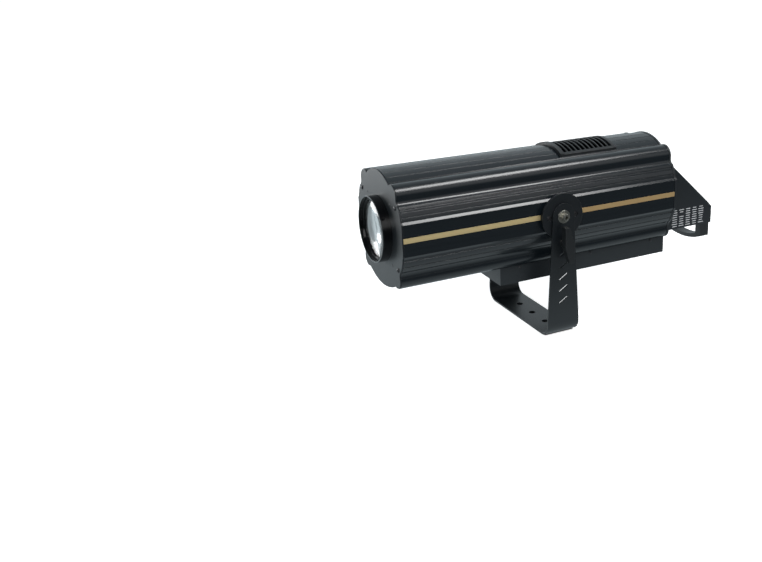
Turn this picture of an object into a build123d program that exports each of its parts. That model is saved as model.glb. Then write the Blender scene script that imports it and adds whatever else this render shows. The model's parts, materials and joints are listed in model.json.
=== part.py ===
from build123d import *
import os
from math import atan2, cos, hypot, pi, radians, sin, sqrt, tan

# Profile spotlight: a long extruded aluminium housing that tilts in a U-shaped yoke.
# Millimetres, +Z up. The beam leaves along -Y. The origin is the centre of the yoke's middle
# mounting hole, on the underside of the yoke.

# ---------------------------------------------------------------- overall sizes
PIVOT_HEIGHT = 230.0          # tilt axis above the underside of the yoke
AXIS_DROP = 3.0               # optical axis below the tilt axis
FRONT_REACH = 301.0           # front end of the extrusion ahead of the tilt axis
REAR_REACH = 259.0            # rear end of the extrusion behind the tilt axis
AXIS_Z = PIVOT_HEIGHT - AXIS_DROP
FRONT_Y = -FRONT_REACH
REAR_Y = REAR_REACH

# ---------------------------------------------------------------- clearances
RUNNING = 0.05                # radial clearance of a shaft that turns or slides in its bore
SCREW_CLEAR = 0.25            # radial clearance round a screw's shank
FREE_GAP = 0.3                # least gap between pieces that move past each other
FILM = 0.02                   # gap of a located fit between pieces that stay still

# ---------------------------------------------------------------- housing section, seen from the front
SECTION_HALF_WIDTH = 102.5    # flat band on the flank
BAND_TOP = 31.0               # flat band, above and below the optical axis
BAND_BOTTOM = -25.0
CREST = 105.0                 # top of the upper crown and bottom of the lower crown
CROWN_NOTCH = (47.5, 91.4)    # where the upper crown meets its lobe
LOBE_TOP = ((50.5, 88.6), (75.0, 87.4), (81.5, 70.0))
SCALLOP_TOP = ((81.5, 70.0), (83.2, 62.6), (89.0, 58.5))
FLANK_TOP = ((89.0, 58.5), (95.2, 46.5), (99.0, 35.0))
FLANK_BOTTOM = ((99.6, -29.5), (95.6, -42.5), (89.0, -54.5))
SCALLOP_BOTTOM = ((89.0, -54.5), (84.2, -59.6), (82.6, -68.0))
LOBE_BOTTOM = ((82.6, -68.0), (79.6, -85.4), (63.5, -90.8))
KEEL_NOTCH = (60.5, -88.6)    # where the lower crown meets its lobe
WALL = 3.0                    # extrusion wall
GROOVE_RADIUS = 0.9           # fine grooves drawn along the extrusion
GROOVE_CROWN_X = (8.0, 22.0, 36.0)
GROOVE_FLANK_Z = (54.0, 50.5, 42.0, -34.0, -46.0)
GROOVE_KEEL_X = (20.0, 44.0)
PORT_X, PORT_Z = 77.0, 54.7   # screw ports of the end plates
PORT_RADIUS = 5.5
PORT_BORE = 2.1
LEDGE_Z = -80.0               # inner ledges that carry the chassis plate
LEDGE_T = 3.0
LEDGE_REACH = 20.0

# ---------------------------------------------------------------- end plates
FRONT_PLATE_T = 2.0
FRONT_PLATE_INSET = 1.0
REAR_PLATE_T = 4.0
REAR_PLATE_PROUD = 0.8
CABLE_HOLE_RADIUS = 22.0

# ---------------------------------------------------------------- screws: shank, head radius, head height
M3 = (1.5, 2.7, 1.6)
M4 = (2.0, 3.8, 2.4)
M5 = (2.5, 4.6, 2.8)
PLATE_SCREW_LENGTH = 14.0
CASE_SCREW_LENGTH = 8.0
DRIVE_RADIUS = 1.3            # hexagon recess in a screw head
DRIVE_SHARE = 0.55            # how deep the recess goes into the head

# ---------------------------------------------------------------- yoke
YOKE_T = 3.0
YOKE_OUTER_HALF = 117.0
YOKE_BASE_HALF = 33.0
YOKE_BEND = 24.0              # outer radius of the bends
ARM_TOP_RADIUS = 21.5
ARM_TOP_RISE = 3.0            # centre of the round arm top above the tilt axis
ARM_FOOT_Z = 32.0             # where the taper of the arms starts
YOKE_HOLE_RADIUS = 6.5
YOKE_HOLE_PITCH = 50.0
SLOT_COUNT = 5
SLOT_LENGTH, SLOT_WIDTH, SLOT_ANGLE = 21.0, 3.0, 32.0
SLOT_LOW_Z, SLOT_PITCH = 70.0, 22.75
YOKE_INNER_HALF = YOKE_OUTER_HALF - YOKE_T

# ---------------------------------------------------------------- tilt pivot
DISC_RADIUS = 42.0
DISC_T = 4.0
FRICTION_T = 0.8
FRICTION_RADIUS = 20.0
PIVOT_SHANK = 4.0
PIVOT_HEAD_RADIUS = 6.6
PIVOT_HEAD_T = 8.0
PIVOT_HEX, PIVOT_HEX_DEPTH = 3.4, 4.5
WASHER_RADIUS = 12.0
WASHER_T = 1.6
BOSS_RADIUS = 14.0
DISC_SCREW_PCD_RADIUS = 27.0
DISC_SCREW_COUNT = 2
DISC_SCREW_BITE = 8.0         # screw length below the flat band of the flank
NUT_RADIUS, NUT_T = 7.5, 6.5
PILLAR_RADIUS = 5.0
DISC_OUT = YOKE_INNER_HALF - FRICTION_T
DISC_IN = DISC_OUT - DISC_T

# ---------------------------------------------------------------- tilt clamp
KNOB_DROP = DISC_RADIUS + 7.0
STUD_RADIUS = 4.0
STUD_FLANGE_RADIUS = 7.5
STUD_FLANGE_T = 1.5
JAW_T = 4.0
JAW_HALF_WIDTH = 9.0
JAW_LIP = 4.5                 # how far the jaw reaches over the rim of the disc
KNOB_HUB_RADIUS = 8.5
KNOB_HUB_T = 8.0
KNOB_REACH = 22.0             # outer face of the wing beyond the yoke arm
WING_HALF_HEIGHT = 34.0
WING_TIP, WING_ROOT = 9.5, 18.5

# ---------------------------------------------------------------- hood and lens carriage
HOOD_RADIUS = 59.0
HOOD_WALL = 2.5
HOOD_REACH = 17.0             # rim ahead of the front plate
HOOD_FLANGE_T = 2.5
HOOD_RIVET_X, HOOD_RIVET_Z = HOOD_RADIUS - 8.0, HOOD_RADIUS - 5.0
RIVET_RADIUS, RIVET_HEAD_T = 2.0, 0.6
BARREL_GAP = 1.0              # between the barrel and the inside of the hood
BARREL_RADIUS = HOOD_RADIUS - HOOD_WALL - BARREL_GAP
BARREL_WALL = 2.0
BARREL_LENGTH = 92.0
BARREL_RECESS = 6.7           # front of the barrel behind the rim of the hood
FOCUS_TRAVEL = 40.0
RING_T, RING_LIP = 3.0, 1.5
FRONT_LENS_EDGE, FRONT_LENS_DOME = 9.0, 7.5
REAR_LENS_EDGE, REAR_LENS_DOME = 7.0, 6.0
ROD_RADIUS = 4.0
ROD_X = BARREL_RADIUS + 12.5
BUSH_RADIUS, BUSH_LENGTH = 7.5, 24.0
LUG_T = 8.0
RACK_WIDTH = 10.0
RACK_SPARE = 20.0             # rack left over at the ends of the travel
RACK_ADDENDUM = 0.8           # height of the rack teeth above the pitch line, in modules
GEAR_MODULE, PINION_TEETH = 1.0, 14
PINION_WIDTH = 9.0
RACK_PITCH_Z = -BARREL_RADIUS - 5.0
BACKLASH = 0.35

# ---------------------------------------------------------------- inner chassis and gate
CHASSIS_T = 2.0
CHASSIS_HALF_WIDTH = 66.0
BULKHEAD_T = 4.0
BULKHEAD_HALF_WIDTH = ROD_X + 14.0
BULKHEAD_HALF_HEIGHT = 44.0
BULKHEAD_FOOT_HALF = 52.0
GATE_Y = -118.0
GATE_RADIUS = 14.0
GATE_TUBE_RADIUS, GATE_TUBE_LENGTH = 20.0, 12.0

# ---------------------------------------------------------------- colour wheel
WHEEL_RISE = 34.0             # wheel axis above the optical axis
WHEEL_RADIUS = 50.0
WHEEL_T = 2.0
FILTER_COUNT = 6
FILTER_RADIUS = 13.0
FILTER_T = 1.2
WHEEL_GAP = 10.0              # wheel behind the gate plate
WHEEL_HUB_RADIUS, WHEEL_HUB_T = 8.0, 6.0
MOTOR_HALF, MOTOR_LENGTH = 14.0, 30.0
MOTOR_SHAFT = 2.5

# ---------------------------------------------------------------- light engine
LED_FACE_Y = 34.0
LED_PLATE_HALF, LED_PLATE_T = 42.0, 3.0
LED_CHIP_HALF, LED_CHIP_T = 11.0, 1.2
HOLDER_RADIUS, HOLDER_WALL, HOLDER_LENGTH = 36.0, 2.5, 46.0
CONDENSER_EDGE, CONDENSER_DOME = 5.0, 9.0
SINK_HALF_X, SINK_HALF_Z = 60.0, 62.0
SINK_BASE, SINK_DEPTH = 8.0, 96.0
SINK_FOOT_T = 6.0
FIN_COUNT, FIN_T = 17, 2.2
FAN_HALF, FAN_T = 60.0, 25.0
FAN_BORE, ROTOR_RADIUS, ROTOR_HUB = 57.0, 55.0, 19.0
FAN_SHAFT, FAN_FOOT_T, STRUT_T = 2.0, 6.0, 2.5
BLADE_COUNT = 7
BLADE_PITCH = 32.0

# ---------------------------------------------------------------- top vent
VENT_FRONT, VENT_REAR = 36.0, 160.0
VENT_HALF_WIDTH = 46.0
VENT_SLOTS = 11
VENT_SLOT_WIDTH = 7.4
VENT_SKIN = 2.0
VENT_RISE = 1.6               # air gap between the crown and the moulding
VENT_FRAME = 5.5
VENT_LIP, VENT_LIP_RISE = 9.0, 1.8
VENT_OPENING_HALF = 38.0

# ---------------------------------------------------------------- control box behind the housing
BOX_HALF = 64.0
BOX_DEPTH = 123.0
BOX_SKIN = 1.5
BOX_TOP, BOX_HEEL, BOX_BOTTOM = 64.7, -49.3, -84.0
BOX_FLANGE, BOX_FLANGE_TOP = 9.0, 40.0
PANEL_T = 1.5
PANEL_MARGIN = 3.0
DISPLAY_ALONG, DISPLAY_ACROSS = 58.0, -14.0
DISPLAY_HALF = (20.0, 30.0)   # along and across the slope
BUTTON_RADIUS, BUTTON_PROUD = 3.6, 2.6
BUTTON_TRAVEL = 1.2
BUTTON_ALONG, BUTTON_ACROSS = (90.0, 110.0), (BOX_HALF - 34.0, BOX_HALF - 14.0)
BUTTON_FLANGE, BUTTON_FLANGE_T = 5.0, 1.2
BOARD_T = 1.6
BOARD_HALF = (55.0, BOX_HALF - 10.0)  # along and across the slope
STANDOFF_RADIUS = 2.5
BOARD_DEPTH = 9.0             # control board below the panel
INLET_X, SWITCH_X, SOCKET_X = -38.0, -2.5, (21.0, 48.5)
INLET_HALF, INLET_DEPTH = (24.0, 13.5), 24.0
INLET_MOUTH = (25.0, 17.0)
INLET_PINS = ((-7.0, -2.0), (7.0, -2.0), (0.0, 3.0))
ROCKER_HALF = (5.2, 8.6)
ROCKER_FRAME_HALF = (7.5, 11.0)
ROCKER_THROW = 12.0
SOCKET_HALF = (12.5, 14.5)
SOCKET_BORE, SOCKET_DEPTH = 9.0, 18.0
SOCKET_PINS, SOCKET_PIN_RADIUS = ((-4.0, 2.0), (4.0, 2.0), (0.0, -4.0)), 1.2
REAR_PARTS_Z = (BOX_HEEL + BOX_BOTTOM) / 2

# ---------------------------------------------------------------- rear handle
HANDLE_FRONT = 100.0          # front of the grip behind the rear end of the housing plate
HANDLE_LENGTH = 22.0
HANDLE_HALF = BOX_HALF
HANDLE_ARM = 15.0
HANDLE_SAG = 40.0             # lowest point below the box
HANDLE_SHOULDER = 27.0        # depth of the outer corners below the box
HANDLE_GRIP_T = 7.5
HANDLE_ROOT_T = 4.0

# ---------------------------------------------------------------- driver tray under the housing
TRAY_FRONT = -107.0
TRAY_HALF = 73.0
TRAY_DEPTH = 123.0            # floor below the optical axis
TRAY_SKIN = 1.5
TRAY_TOP = -90.5
TRAY_SCREW_Y = (TRAY_FRONT + 40.0, 87.0, REAR_Y - 32.0)
TRAY_SCREW_Z = -94.2
TRAY_BLOCK_IN = 62.0          # inner face of the threaded blocks
TRAY_BLOCK_HALF = 6.0
DRIVER_HALF, DRIVER_T = 24.0, 13.0
DRIVER_GAP = 12.0             # between the drivers and at the front of the tray
DRIVER_LENGTH = (REAR_Y - TRAY_FRONT) / 2 - 23.0
STRIP_HALF, STRIP_T = 4.5, 0.6
STRIP_RISE = 3.5


# ================================================================ drawing helpers
def along_y(sketch, start, end):
    """Extrude a sketch drawn as (x, z) between two stations along Y."""
    plane = Plane(origin=(0, end, 0), x_dir=(1, 0, 0), z_dir=(0, -1, 0))
    return extrude(plane * sketch, amount=end - start)


def along_x(sketch, start, end):
    """Extrude a sketch drawn as (y, z) between two stations along X."""
    plane = Plane(origin=(start, 0, 0), x_dir=(0, 1, 0), z_dir=(1, 0, 0))
    return extrude(plane * sketch, amount=end - start)


def along_z(sketch, start, end):
    """Extrude a sketch drawn as (x, y) between two heights."""
    return extrude(Plane.XY.offset(start) * sketch, amount=end - start)


def rod_y(x, z, radius, start, end):
    return along_y(Pos(x, z) * Circle(radius), start, end)


def rod_x(y, z, radius, start, end):
    return along_x(Pos(y, z) * Circle(radius), start, end)


def rod_z(x, y, radius, start, end):
    return along_z(Pos(x, y) * Circle(radius), start, end)


def tube_y(x, z, outer, inner, start, end):
    return along_y(Pos(x, z) * (Circle(outer) - Circle(inner)), start, end)


def block(low, high):
    """Box between two opposite corners."""
    size = [b - a for a, b in zip(low, high)]
    middle = [(a + b) / 2 for a, b in zip(low, high)]
    return Pos(*middle) * Box(*size)


def both_sides(shape):
    """A shape and its mirror image across the plane of symmetry."""
    return [shape, mirror(shape, about=Plane.YZ)]


def group(shapes):
    """Separate solids kept together in one node."""
    return Compound([solid for shape in shapes for solid in shape.solids()])


def pan_screw(size, length):
    """Pan-head screw at the origin: the head stands on +Z and the shank hangs below."""
    shank, head, height = size
    body = Cylinder(shank, length, align=(Align.CENTER, Align.CENTER, Align.MAX))
    cap = Cylinder(head, height, align=(Align.CENTER, Align.CENTER, Align.MIN))
    cap = fillet(cap.edges().sort_by(Axis.Z)[-1], height * 0.55)
    recess = extrude(RegularPolygon(DRIVE_RADIUS, 6), amount=height)
    return body + cap - Pos(0, 0, height * (1 - DRIVE_SHARE)) * recess


def facing(direction, point):
    """Location that turns +Z to the direction and moves the origin to the point."""
    return Plane(origin=point, z_dir=direction).location


# ================================================================ housing section
def bow(points, side):
    """Three-point arc on one side of the section."""
    return ThreePointArc(*[(side * x, z) for x, z in points])


def section_edges():
    """Perimeter of the extrusion about the optical axis."""
    edges = [ThreePointArc((-CROWN_NOTCH[0], CROWN_NOTCH[1]), (0, CREST), CROWN_NOTCH)]
    edges.append(ThreePointArc((-KEEL_NOTCH[0], KEEL_NOTCH[1]), (0, -CREST), KEEL_NOTCH))
    for side in (1, -1):
        edges += [bow(points, side) for points in
                  (LOBE_TOP, SCALLOP_TOP, FLANK_TOP, FLANK_BOTTOM, SCALLOP_BOTTOM, LOBE_BOTTOM)]
        corners = [(SECTION_HALF_WIDTH, BAND_TOP), (SECTION_HALF_WIDTH, BAND_BOTTOM)]
        band = [FLANK_TOP[2], *corners, FLANK_BOTTOM[0]]
        chains = [[CROWN_NOTCH, LOBE_TOP[0]], band, [LOBE_BOTTOM[2], KEEL_NOTCH]]
        for chain in chains:
            for start, end in zip(chain, chain[1:]):
                edges.append(Line((side * start[0], start[1]), (side * end[0], end[1])))
    return edges


def crown_circle(notch, crest):
    """Centre height and radius of the arc through a notch, its mirror image and the crest."""
    rise = abs(crest - notch[1])
    radius = (notch[0] ** 2 + rise ** 2) / (2 * rise)
    centre = crest - radius if crest > 0 else crest + radius
    return centre, radius


OUTLINE = make_face(section_edges())
CAVITY = offset(OUTLINE, amount=-WALL, kind=Kind.ARC)
CROWN_CENTRE, CROWN_RADIUS = crown_circle(CROWN_NOTCH, CREST)
KEEL_CENTRE, KEEL_RADIUS = crown_circle(KEEL_NOTCH, -CREST)


def crown_z(x):
    return CROWN_CENTRE + sqrt(CROWN_RADIUS ** 2 - x ** 2)


def keel_z(x):
    return KEEL_CENTRE - sqrt(KEEL_RADIUS ** 2 - x ** 2)


def flank_x(z):
    """Reach of the curved flank at a height, by the circle through its three points."""
    points = FLANK_TOP if z > 0 else FLANK_BOTTOM
    (x1, z1), (x2, z2), (x3, z3) = points
    twice = 2 * (x1 * (z2 - z3) + x2 * (z3 - z1) + x3 * (z1 - z2))
    squares = [x * x + y * y for x, y in points]
    cx = (squares[0] * (z2 - z3) + squares[1] * (z3 - z1) + squares[2] * (z1 - z2)) / twice
    cz = (squares[0] * (x3 - x2) + squares[1] * (x1 - x3) + squares[2] * (x2 - x1)) / twice
    return cx + sqrt(hypot(x1 - cx, z1 - cz) ** 2 - (z - cz) ** 2)


def groove_points():
    points = [(x, crown_z(x)) for x in GROOVE_CROWN_X]
    points += [(flank_x(z), z) for z in GROOVE_FLANK_Z]
    points += [(x, keel_z(x)) for x in GROOVE_KEEL_X]
    return points


def housing_section():
    section = OUTLINE - CAVITY
    for side in (1, -1):
        for port_z in (PORT_Z, -PORT_Z):
            web = Pos(side * (PORT_X + PORT_RADIUS), port_z) * Rectangle(2 * PORT_RADIUS, 2 * PORT_RADIUS)
            section += (Pos(side * PORT_X, port_z) * Circle(PORT_RADIUS) + web) & OUTLINE
        reach = side * (CHASSIS_HALF_WIDTH + LEDGE_REACH / 2 - 4)
        section += (Pos(reach, LEDGE_Z - LEDGE_T / 2) * Rectangle(LEDGE_REACH, LEDGE_T)) & OUTLINE
        for x, z in groove_points():
            section -= Pos(side * x, z) * Circle(GROOVE_RADIUS)
    for side in (1, -1):
        for port_z in (PORT_Z, -PORT_Z):
            section -= Pos(side * PORT_X, port_z) * Circle(PORT_BORE)
    return Pos(0, AXIS_Z) * section


def end_outline(growth):
    """Outline of an end plate: the section grown or shrunk evenly."""
    return Pos(0, AXIS_Z) * offset(OUTLINE, amount=growth, kind=Kind.ARC)


def port_centres():
    return [(sx * PORT_X, AXIS_Z + sz * PORT_Z) for sx in (1, -1) for sz in (1, -1)]


# ================================================================ housing shell and plates
def disc_screw_points():
    """Screws of a pivot disc as (y, z)."""
    turn = 2 * pi / DISC_SCREW_COUNT
    return [(DISC_SCREW_PCD_RADIUS * cos(turn * n), PIVOT_HEIGHT + DISC_SCREW_PCD_RADIUS * sin(turn * n))
            for n in range(DISC_SCREW_COUNT)]


def housing_extrusion():
    shell = along_y(housing_section(), FRONT_Y, REAR_Y)
    vent_y = (VENT_FRONT + VENT_FRAME, VENT_REAR - VENT_FRAME)
    shell -= block((-VENT_OPENING_HALF, vent_y[0], AXIS_Z + CROWN_NOTCH[1] - 12),
                   (VENT_OPENING_HALF, vent_y[1], AXIS_Z + CREST + 5))
    for side in (1, -1):
        root = SECTION_HALF_WIDTH - DISC_SCREW_BITE - 1
        reach = sorted((side * root, side * (SECTION_HALF_WIDTH + 2)))
        shell -= rod_x(0, PIVOT_HEIGHT, PIVOT_SHANK + SCREW_CLEAR, *reach)
        for y, z in disc_screw_points():
            shell -= rod_x(y, z, M5[0], *reach)
    return shell


def front_plate():
    plate = along_y(end_outline(-FRONT_PLATE_INSET), FRONT_Y - FRONT_PLATE_T, FRONT_Y)
    plate -= rod_y(0, AXIS_Z, HOOD_RADIUS + FILM, FRONT_Y - FRONT_PLATE_T, FRONT_Y)
    for x, z in port_centres():
        plate -= rod_y(x, z, M4[0] + SCREW_CLEAR, FRONT_Y - FRONT_PLATE_T, FRONT_Y)
    for x, z in hood_rivet_points():
        plate -= rod_y(x, z, RIVET_RADIUS, FRONT_Y - FRONT_PLATE_T, FRONT_Y)
    return plate


def rear_plate():
    plate = along_y(end_outline(REAR_PLATE_PROUD), REAR_Y, REAR_Y + REAR_PLATE_T)
    plate -= rod_y(0, AXIS_Z - 10, CABLE_HOLE_RADIUS, REAR_Y, REAR_Y + REAR_PLATE_T)
    for x, z in port_centres():
        plate -= rod_y(x, z, M4[0] + SCREW_CLEAR, REAR_Y, REAR_Y + REAR_PLATE_T)
    for x, z in box_flange_points():
        plate -= rod_y(x, z, M4[0], REAR_Y, REAR_Y + REAR_PLATE_T)
    return plate


def plate_screws():
    """Eight screws of the end plates in the ports of the extrusion."""
    screws = []
    size = (PORT_BORE - FILM, M4[1], M4[2])
    for x, z in port_centres():
        for towards, seat_y in ((-1, FRONT_Y - FRONT_PLATE_T), (1, REAR_Y + REAR_PLATE_T)):
            seat = facing((0, towards, 0), (x, seat_y, z))
            screws.append(seat * pan_screw(size, PLATE_SCREW_LENGTH))
    return group(screws)


def accent_strips():
    """Thin strip along each flank, interrupted by the pivot boss."""
    strips = []
    low, high = AXIS_Z + STRIP_RISE - STRIP_HALF, AXIS_Z + STRIP_RISE + STRIP_HALF
    for start, end in ((FRONT_Y, -DISC_RADIUS + 2), (DISC_RADIUS - 2, REAR_Y)):
        strip = block((SECTION_HALF_WIDTH, start, low), (SECTION_HALF_WIDTH + STRIP_T, end, high))
        strips += both_sides(strip)
    return group(strips)


# ================================================================ vent moulding
def vent_cover():
    """Curved grille that stands over the opening in the crown."""
    skin_out = CROWN_RADIUS + VENT_RISE + VENT_SKIN
    skin_in = CROWN_RADIUS + VENT_RISE
    centre = AXIS_Z + CROWN_CENTRE
    sector = Pos(0, centre + CROWN_RADIUS) * Rectangle(2 * VENT_HALF_WIDTH, 2 * CROWN_RADIUS)

    def arch(outer, inner, start, end):
        ring = Pos(0, centre) * (Circle(outer) - Circle(inner))
        return along_y(ring & sector, start, end)

    cover = arch(skin_out, skin_in, VENT_FRONT, VENT_REAR)
    cover += arch(skin_out + VENT_LIP_RISE, skin_in, VENT_FRONT, VENT_FRONT + VENT_LIP)
    for start, end in ((VENT_FRONT, VENT_FRONT + 2), (VENT_REAR - 2, VENT_REAR)):
        cover += arch(skin_out, CROWN_RADIUS, start, end)
    span = VENT_REAR - VENT_FRONT - VENT_LIP - VENT_FRAME
    pitch = span / VENT_SLOTS
    for n in range(VENT_SLOTS):
        middle = VENT_FRONT + VENT_LIP + pitch * (n + 0.5)
        slot_half = VENT_HALF_WIDTH - VENT_FRAME
        cover -= block((-slot_half, middle - VENT_SLOT_WIDTH / 2, centre),
                       (slot_half, middle + VENT_SLOT_WIDTH / 2, centre + 2 * CROWN_RADIUS))
    shell = Pos(0, centre) * (Circle(skin_out) - Circle(CROWN_RADIUS))
    side_foot = shell & (Pos(VENT_HALF_WIDTH - 1, centre + CROWN_RADIUS) * Rectangle(2, 2 * CROWN_RADIUS))
    for foot in both_sides(along_y(side_foot, VENT_FRONT, VENT_REAR)):
        cover += foot
    return cover


# ================================================================ hood and lens carriage
def hood_rivet_points():
    return [(sx * HOOD_RIVET_X, AXIS_Z + sz * HOOD_RIVET_Z) for sx in (1, -1) for sz in (1, -1)]


HOOD_RIM_Y = FRONT_Y - FRONT_PLATE_T - HOOD_REACH
HOOD_BACK_Y = FRONT_Y + HOOD_FLANGE_T
BARREL_FRONT_Y = HOOD_RIM_Y + BARREL_RECESS
BARREL_REAR_Y = BARREL_FRONT_Y + BARREL_LENGTH
BARREL_BORE = BARREL_RADIUS - BARREL_WALL


def lens_hood():
    inner = HOOD_RADIUS - HOOD_WALL
    hood = tube_y(0, AXIS_Z, HOOD_RADIUS, inner, HOOD_RIM_Y, HOOD_BACK_Y)
    flange = RectangleRounded(2 * HOOD_RIVET_X + 14, 2 * HOOD_RIVET_Z + 10, 8) - Circle(HOOD_RADIUS)
    hood += along_y(Pos(0, AXIS_Z) * flange, FRONT_Y, HOOD_BACK_Y)
    for x, z in hood_rivet_points():
        hood -= rod_y(x, z, RIVET_RADIUS, FRONT_Y, HOOD_BACK_Y)
    return hood


def hood_rivets():
    face = FRONT_Y - FRONT_PLATE_T
    rivets = []
    for x, z in hood_rivet_points():
        head = rod_y(x, z, RIVET_RADIUS * 1.5, face - RIVET_HEAD_T, face)
        rivets.append(head + rod_y(x, z, RIVET_RADIUS - FILM, face, HOOD_BACK_Y))
    return group(rivets)


FRONT_LENS_Y = BARREL_FRONT_Y + RING_T          # front of the lens edge
REAR_LENS_Y = BARREL_REAR_Y - RING_T            # back of the rear lens edge
SEAT_T = 3.0
SEAT_BORE = BARREL_BORE - 4.0
LUG_Y = BARREL_FRONT_Y + 42.0


PINION_RADIUS = GEAR_MODULE * PINION_TEETH / 2
PINION_Z = AXIS_Z + RACK_PITCH_Z - PINION_RADIUS
RACK_LENGTH = FOCUS_TRAVEL + RACK_SPARE
RACK_START = HOOD_BACK_Y + BULKHEAD_T + 1.0
PINION_Y = RACK_START + RACK_LENGTH - RACK_SPARE / 2


def lens_barrel():
    barrel = tube_y(0, AXIS_Z, BARREL_RADIUS, BARREL_BORE, BARREL_FRONT_Y, BARREL_REAR_Y)
    front_seat = FRONT_LENS_Y + FRONT_LENS_EDGE
    rear_seat = REAR_LENS_Y - REAR_LENS_EDGE
    barrel += tube_y(0, AXIS_Z, BARREL_RADIUS - 0.5, SEAT_BORE, front_seat, front_seat + SEAT_T)
    barrel += tube_y(0, AXIS_Z, BARREL_RADIUS - 0.5, SEAT_BORE, rear_seat - SEAT_T, rear_seat)
    for side in (1, -1):
        x0, x1 = sorted((side * (BARREL_RADIUS - 1.5), side * ROD_X))
        barrel += block((x0, LUG_Y, AXIS_Z - 7), (x1, LUG_Y + LUG_T, AXIS_Z + 7))
        barrel += rod_y(side * ROD_X, AXIS_Z, BUSH_RADIUS + 2.5, LUG_Y, LUG_Y + LUG_T)
        barrel -= rod_y(side * ROD_X, AXIS_Z, BUSH_RADIUS + FILM, LUG_Y, LUG_Y + LUG_T)
    return barrel


def slide_bushes():
    start = LUG_Y + LUG_T / 2 - BUSH_LENGTH / 2
    bush = tube_y(ROD_X, AXIS_Z, BUSH_RADIUS, ROD_RADIUS + RUNNING, start, start + BUSH_LENGTH)
    return group(both_sides(bush))


def domed_lens(radius, dome_radius, edge, dome, back_y, towards):
    """Plano-convex lens: flat back at back_y, edge and dome towards -Y (-1) or +Y (+1)."""
    ball = (dome_radius ** 2 + dome ** 2) / (2 * dome)
    cap = rod_y(0, 0, dome_radius, -edge - dome, -edge) & (Pos(0, ball - dome - edge, 0) * Sphere(ball))
    lens = rod_y(0, 0, radius, -edge, 0) + cap
    turn = 0 if towards < 0 else 180
    return Pos(0, back_y, AXIS_Z) * Rot(0, 0, turn) * lens


RING_BORE = BARREL_BORE - RING_LIP


def front_lens():
    return domed_lens(BARREL_BORE - FILM, RING_BORE - FREE_GAP, FRONT_LENS_EDGE, FRONT_LENS_DOME,
                      FRONT_LENS_Y + FRONT_LENS_EDGE, -1)


def rear_lens():
    return domed_lens(BARREL_BORE - FILM, RING_BORE - FREE_GAP, REAR_LENS_EDGE, REAR_LENS_DOME,
                      REAR_LENS_Y - REAR_LENS_EDGE, 1)


def lens_rings():
    """Retaining rings at both ends of the barrel."""
    ring = Pos(0, AXIS_Z) * (Circle(BARREL_BORE - FILM) - Circle(RING_BORE))
    return group([along_y(ring, BARREL_FRONT_Y, FRONT_LENS_Y), along_y(ring, REAR_LENS_Y, BARREL_REAR_Y)])


def rack_profile():
    """Rack seen from the side as (y, z), teeth down, gaps centred on the listed stations."""
    pitch = pi * GEAR_MODULE
    top = AXIS_Z + RACK_PITCH_Z + 6.5
    root = AXIS_Z + RACK_PITCH_Z + 1.25 * GEAR_MODULE
    tip = AXIS_Z + RACK_PITCH_Z - RACK_ADDENDUM * GEAR_MODULE
    bar = Polyline((RACK_START, root), (RACK_START, top), (RACK_START + RACK_LENGTH, top),
                   (RACK_START + RACK_LENGTH, root), close=True)
    profile = make_face(bar)
    lean = tan(radians(20))
    half = pitch / 4 - BACKLASH / 4
    count = int((RACK_LENGTH - pitch) / pitch)
    first = PINION_Y + pitch / 2 - pitch * round((PINION_Y - RACK_START - pitch) / pitch)
    for n in range(count):
        y = first + pitch * n
        foot = half + lean * 1.25 * GEAR_MODULE
        crown = half - lean * RACK_ADDENDUM * GEAR_MODULE
        corners = ((y - foot, root), (y - crown, tip), (y + crown, tip), (y + foot, root))
        profile += make_face(Polyline(*corners, close=True))
    return profile


def focus_rack():
    rack = along_x(rack_profile(), -RACK_WIDTH / 2, RACK_WIDTH / 2)
    return rack - rod_y(0, AXIS_Z, BARREL_RADIUS, RACK_START, RACK_START + RACK_LENGTH)


def involute_point(base, roll):
    return (base * (cos(roll) + roll * sin(roll)), base * (sin(roll) - roll * cos(roll)))


def pinion_profile():
    """Involute pinion about the origin with a tooth on the +Z axis of its sketch."""
    pressure = radians(20)
    base = PINION_RADIUS * cos(pressure)
    outer = PINION_RADIUS + GEAR_MODULE
    root = PINION_RADIUS - 1.25 * GEAR_MODULE
    half_pitch_angle = pi / (2 * PINION_TEETH) - BACKLASH / (4 * PINION_RADIUS)
    spread = half_pitch_angle + tan(pressure) - pressure
    start = max(root, base)
    rolls = [sqrt((r / base) ** 2 - 1) for r in (start, (start + outer) / 2, outer)]
    flank = [involute_point(base, roll) for roll in rolls]
    profile = Circle(root + 0.05)
    for n in range(PINION_TEETH):
        axis = 2 * pi * n / PINION_TEETH + pi / 2
        right, left = [], []
        for x, y in flank:
            r, a = hypot(x, y), atan2(y, x)
            right.append((r * cos(axis - spread + a), r * sin(axis - spread + a)))
            left.append((r * cos(axis + spread - a), r * sin(axis + spread - a)))
        inner = root * 0.8
        foot_r = (inner * cos(axis - spread), inner * sin(axis - spread))
        foot_l = (inner * cos(axis + spread), inner * sin(axis + spread))
        points = [foot_r] + right + left[::-1] + [foot_l]
        profile += make_face(Polyline(*points, close=True))
    return profile


def focus_pinion():
    gear = Pos(PINION_Y, PINION_Z) * (pinion_profile() - Circle(MOTOR_SHAFT + RUNNING))
    hub_end = PINION_WIDTH / 2 + 5
    pinion = along_x(gear, -PINION_WIDTH / 2, PINION_WIDTH / 2)
    hub = Pos(PINION_Y, PINION_Z) * (Circle(5.0) - Circle(MOTOR_SHAFT + RUNNING))
    return pinion + along_x(hub, PINION_WIDTH / 2, hub_end)


def motor_frame(half):
    """Square motor body seen from its shaft end, with its corners cut."""
    return chamfer(Rectangle(2 * half, 2 * half).vertices(), 2.5)


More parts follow.
